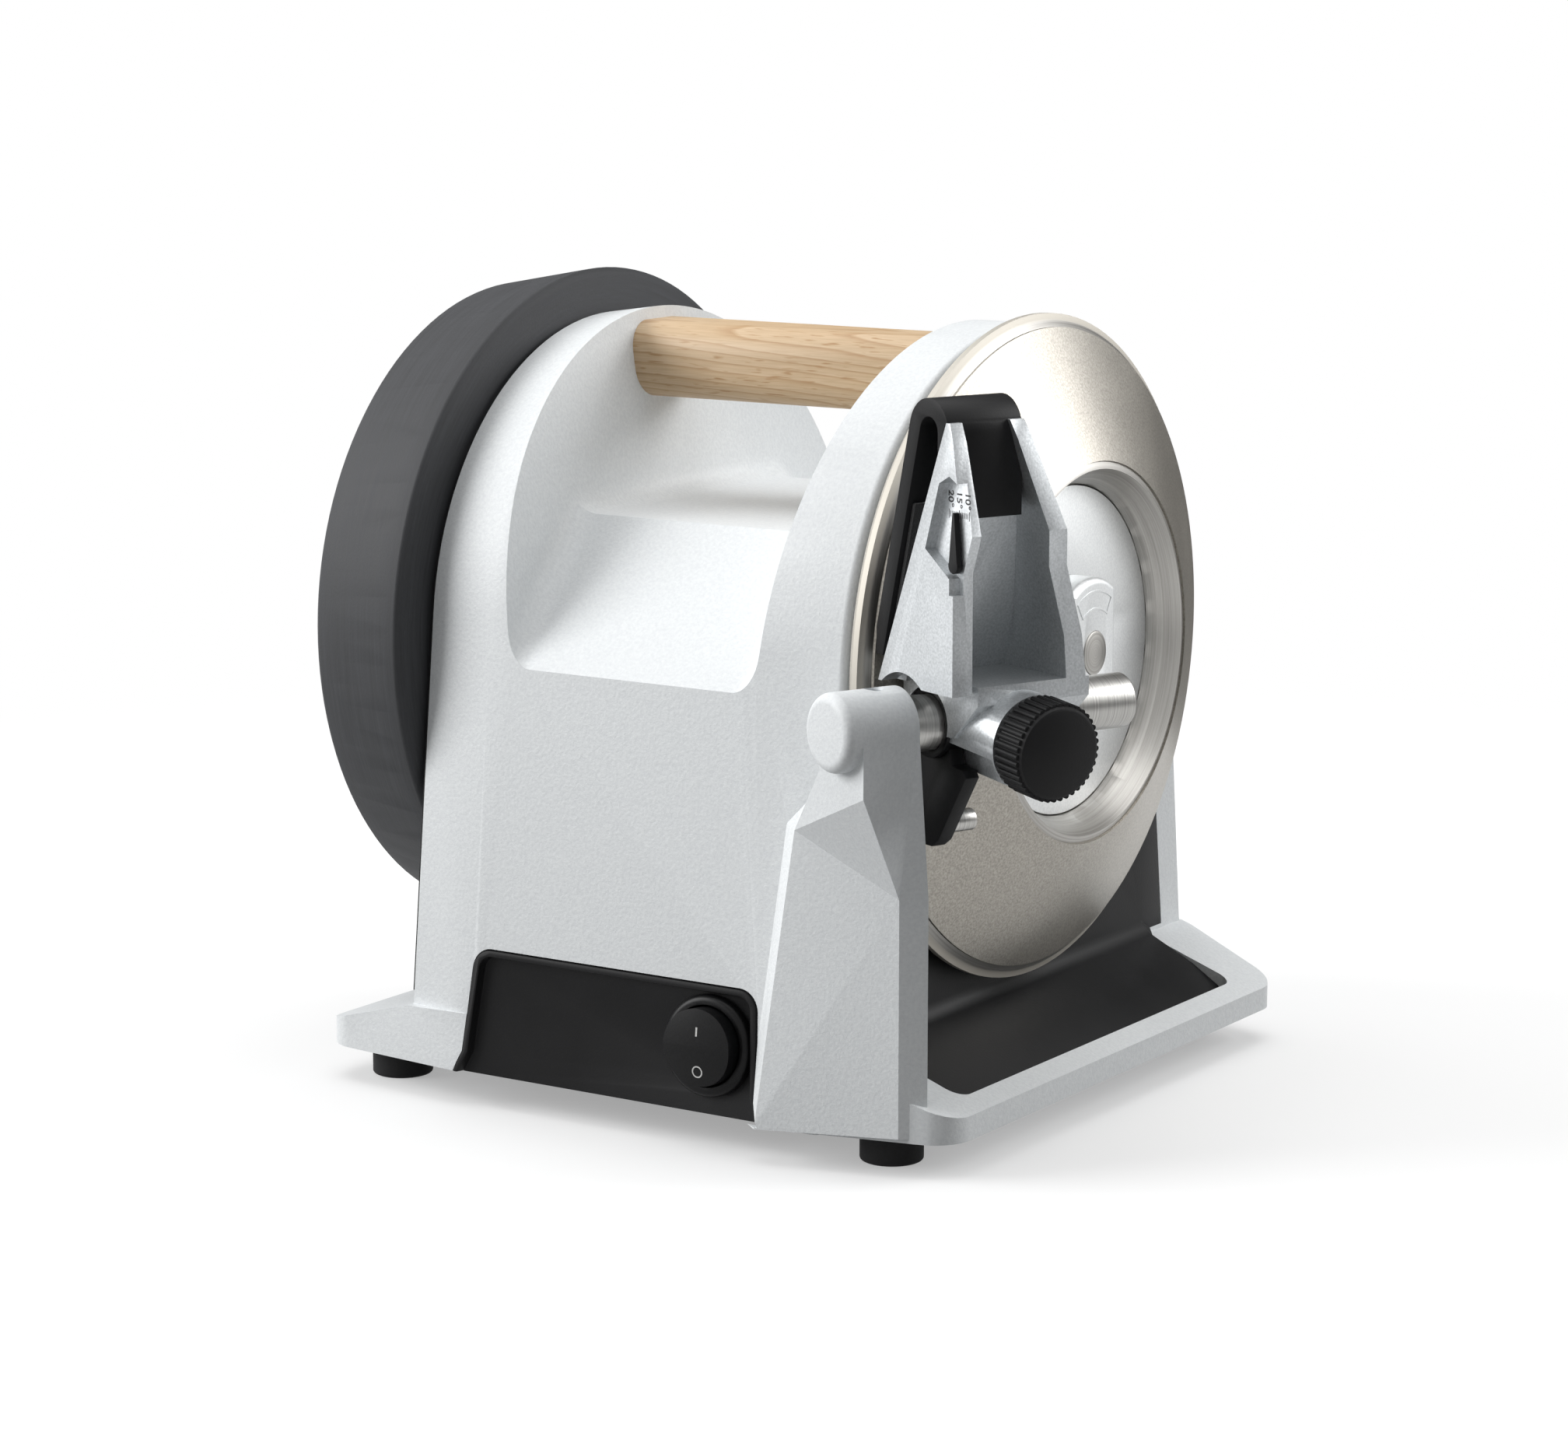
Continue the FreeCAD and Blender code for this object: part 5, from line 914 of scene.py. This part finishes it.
LAMPS_AIM = Vector((0.0, 0.0, 0.09))
for name, spot, wide, watts in (("soft_box_left", (-1.35, -0.95, 0.80), 1.1, 31.0),
                                ("soft_box_top", (-0.1, 0.1, 1.5), 1.6, 16.0),
                                ("soft_box_back", (1.1, 1.1, 0.9), 0.9, 16.0)):
    data = bpy.data.lights.new(name, "AREA")
    data.size = wide
    data.energy = watts
    lamp = bpy.data.objects.new(name, data)
    bpy.context.scene.collection.objects.link(lamp)
    lamp.location = spot
    lamp.rotation_euler = (LAMPS_AIM - Vector(spot)).to_track_quat("-Z", "Y").to_euler()

# Dark cards that show only in reflections, as a product studio sets them to shape the metal:
# one upright behind, one on the floor before it, and one leaning on the right.
black = bpy.data.materials.new("card_black")
black.use_nodes = True
card_shader = black.node_tree.nodes["Principled BSDF"]
card_shader.inputs["Base Color"].default_value = linear("202020")
card_shader.inputs["Roughness"].default_value = 1.0
for name, corners in (
        ("card_back", [(-1.4, 0.7, 0.002), (0.26, 0.7, 0.002),
                       (0.26, 0.7, 1.1), (-1.4, 0.7, 1.1)]),
        ("card_low", [(-1.4, 0.36, 0.002), (0.26, 0.36, 0.002),
                      (0.26, 0.7, 0.002), (-1.4, 0.7, 0.002)]),
        ("card_right", [(0.5, -0.9, 0.002), (1.6, -0.9, 0.5),
                        (1.6, 0.35, 0.5), (0.5, 0.35, 0.002)])):
    mesh = bpy.data.meshes.new(name)
    mesh.from_pydata(corners, [], [(0, 1, 2, 3)])
    mesh.materials.append(black)
    card = new_piece(name, mesh)
    card.visible_camera = False
    card.visible_diffuse = False
    card.visible_shadow = False

# Camera: the photograph's viewpoint, fitted to it, about 0.98 m from the grinding wheel's hub
# with a 100 mm lens. Colours go out as they are.
HUB_FROM_RING = 0.003
VIEW_FROM = Vector((0.4827, -0.8410, 0.1591))
VIEW_DOWN, VIEW_TURN = 10.24, 33.209
hub_at = Vector((wheel_low.x + HUB_FROM_RING, axis_y, axis_z))
lens = bpy.data.cameras.new("photo_view")
lens.lens = 100.0
lens.sensor_fit = "HORIZONTAL"
lens.sensor_width = 36.0
camera = bpy.data.objects.new("photo_view", lens)
bpy.context.scene.collection.objects.link(camera)
camera.location = hub_at + VIEW_FROM
camera.rotation_euler = (math.radians(90.0 - VIEW_DOWN), 0.0, math.radians(VIEW_TURN))
bpy.context.scene.camera = camera
bpy.context.scene.view_settings.view_transform = "Standard"
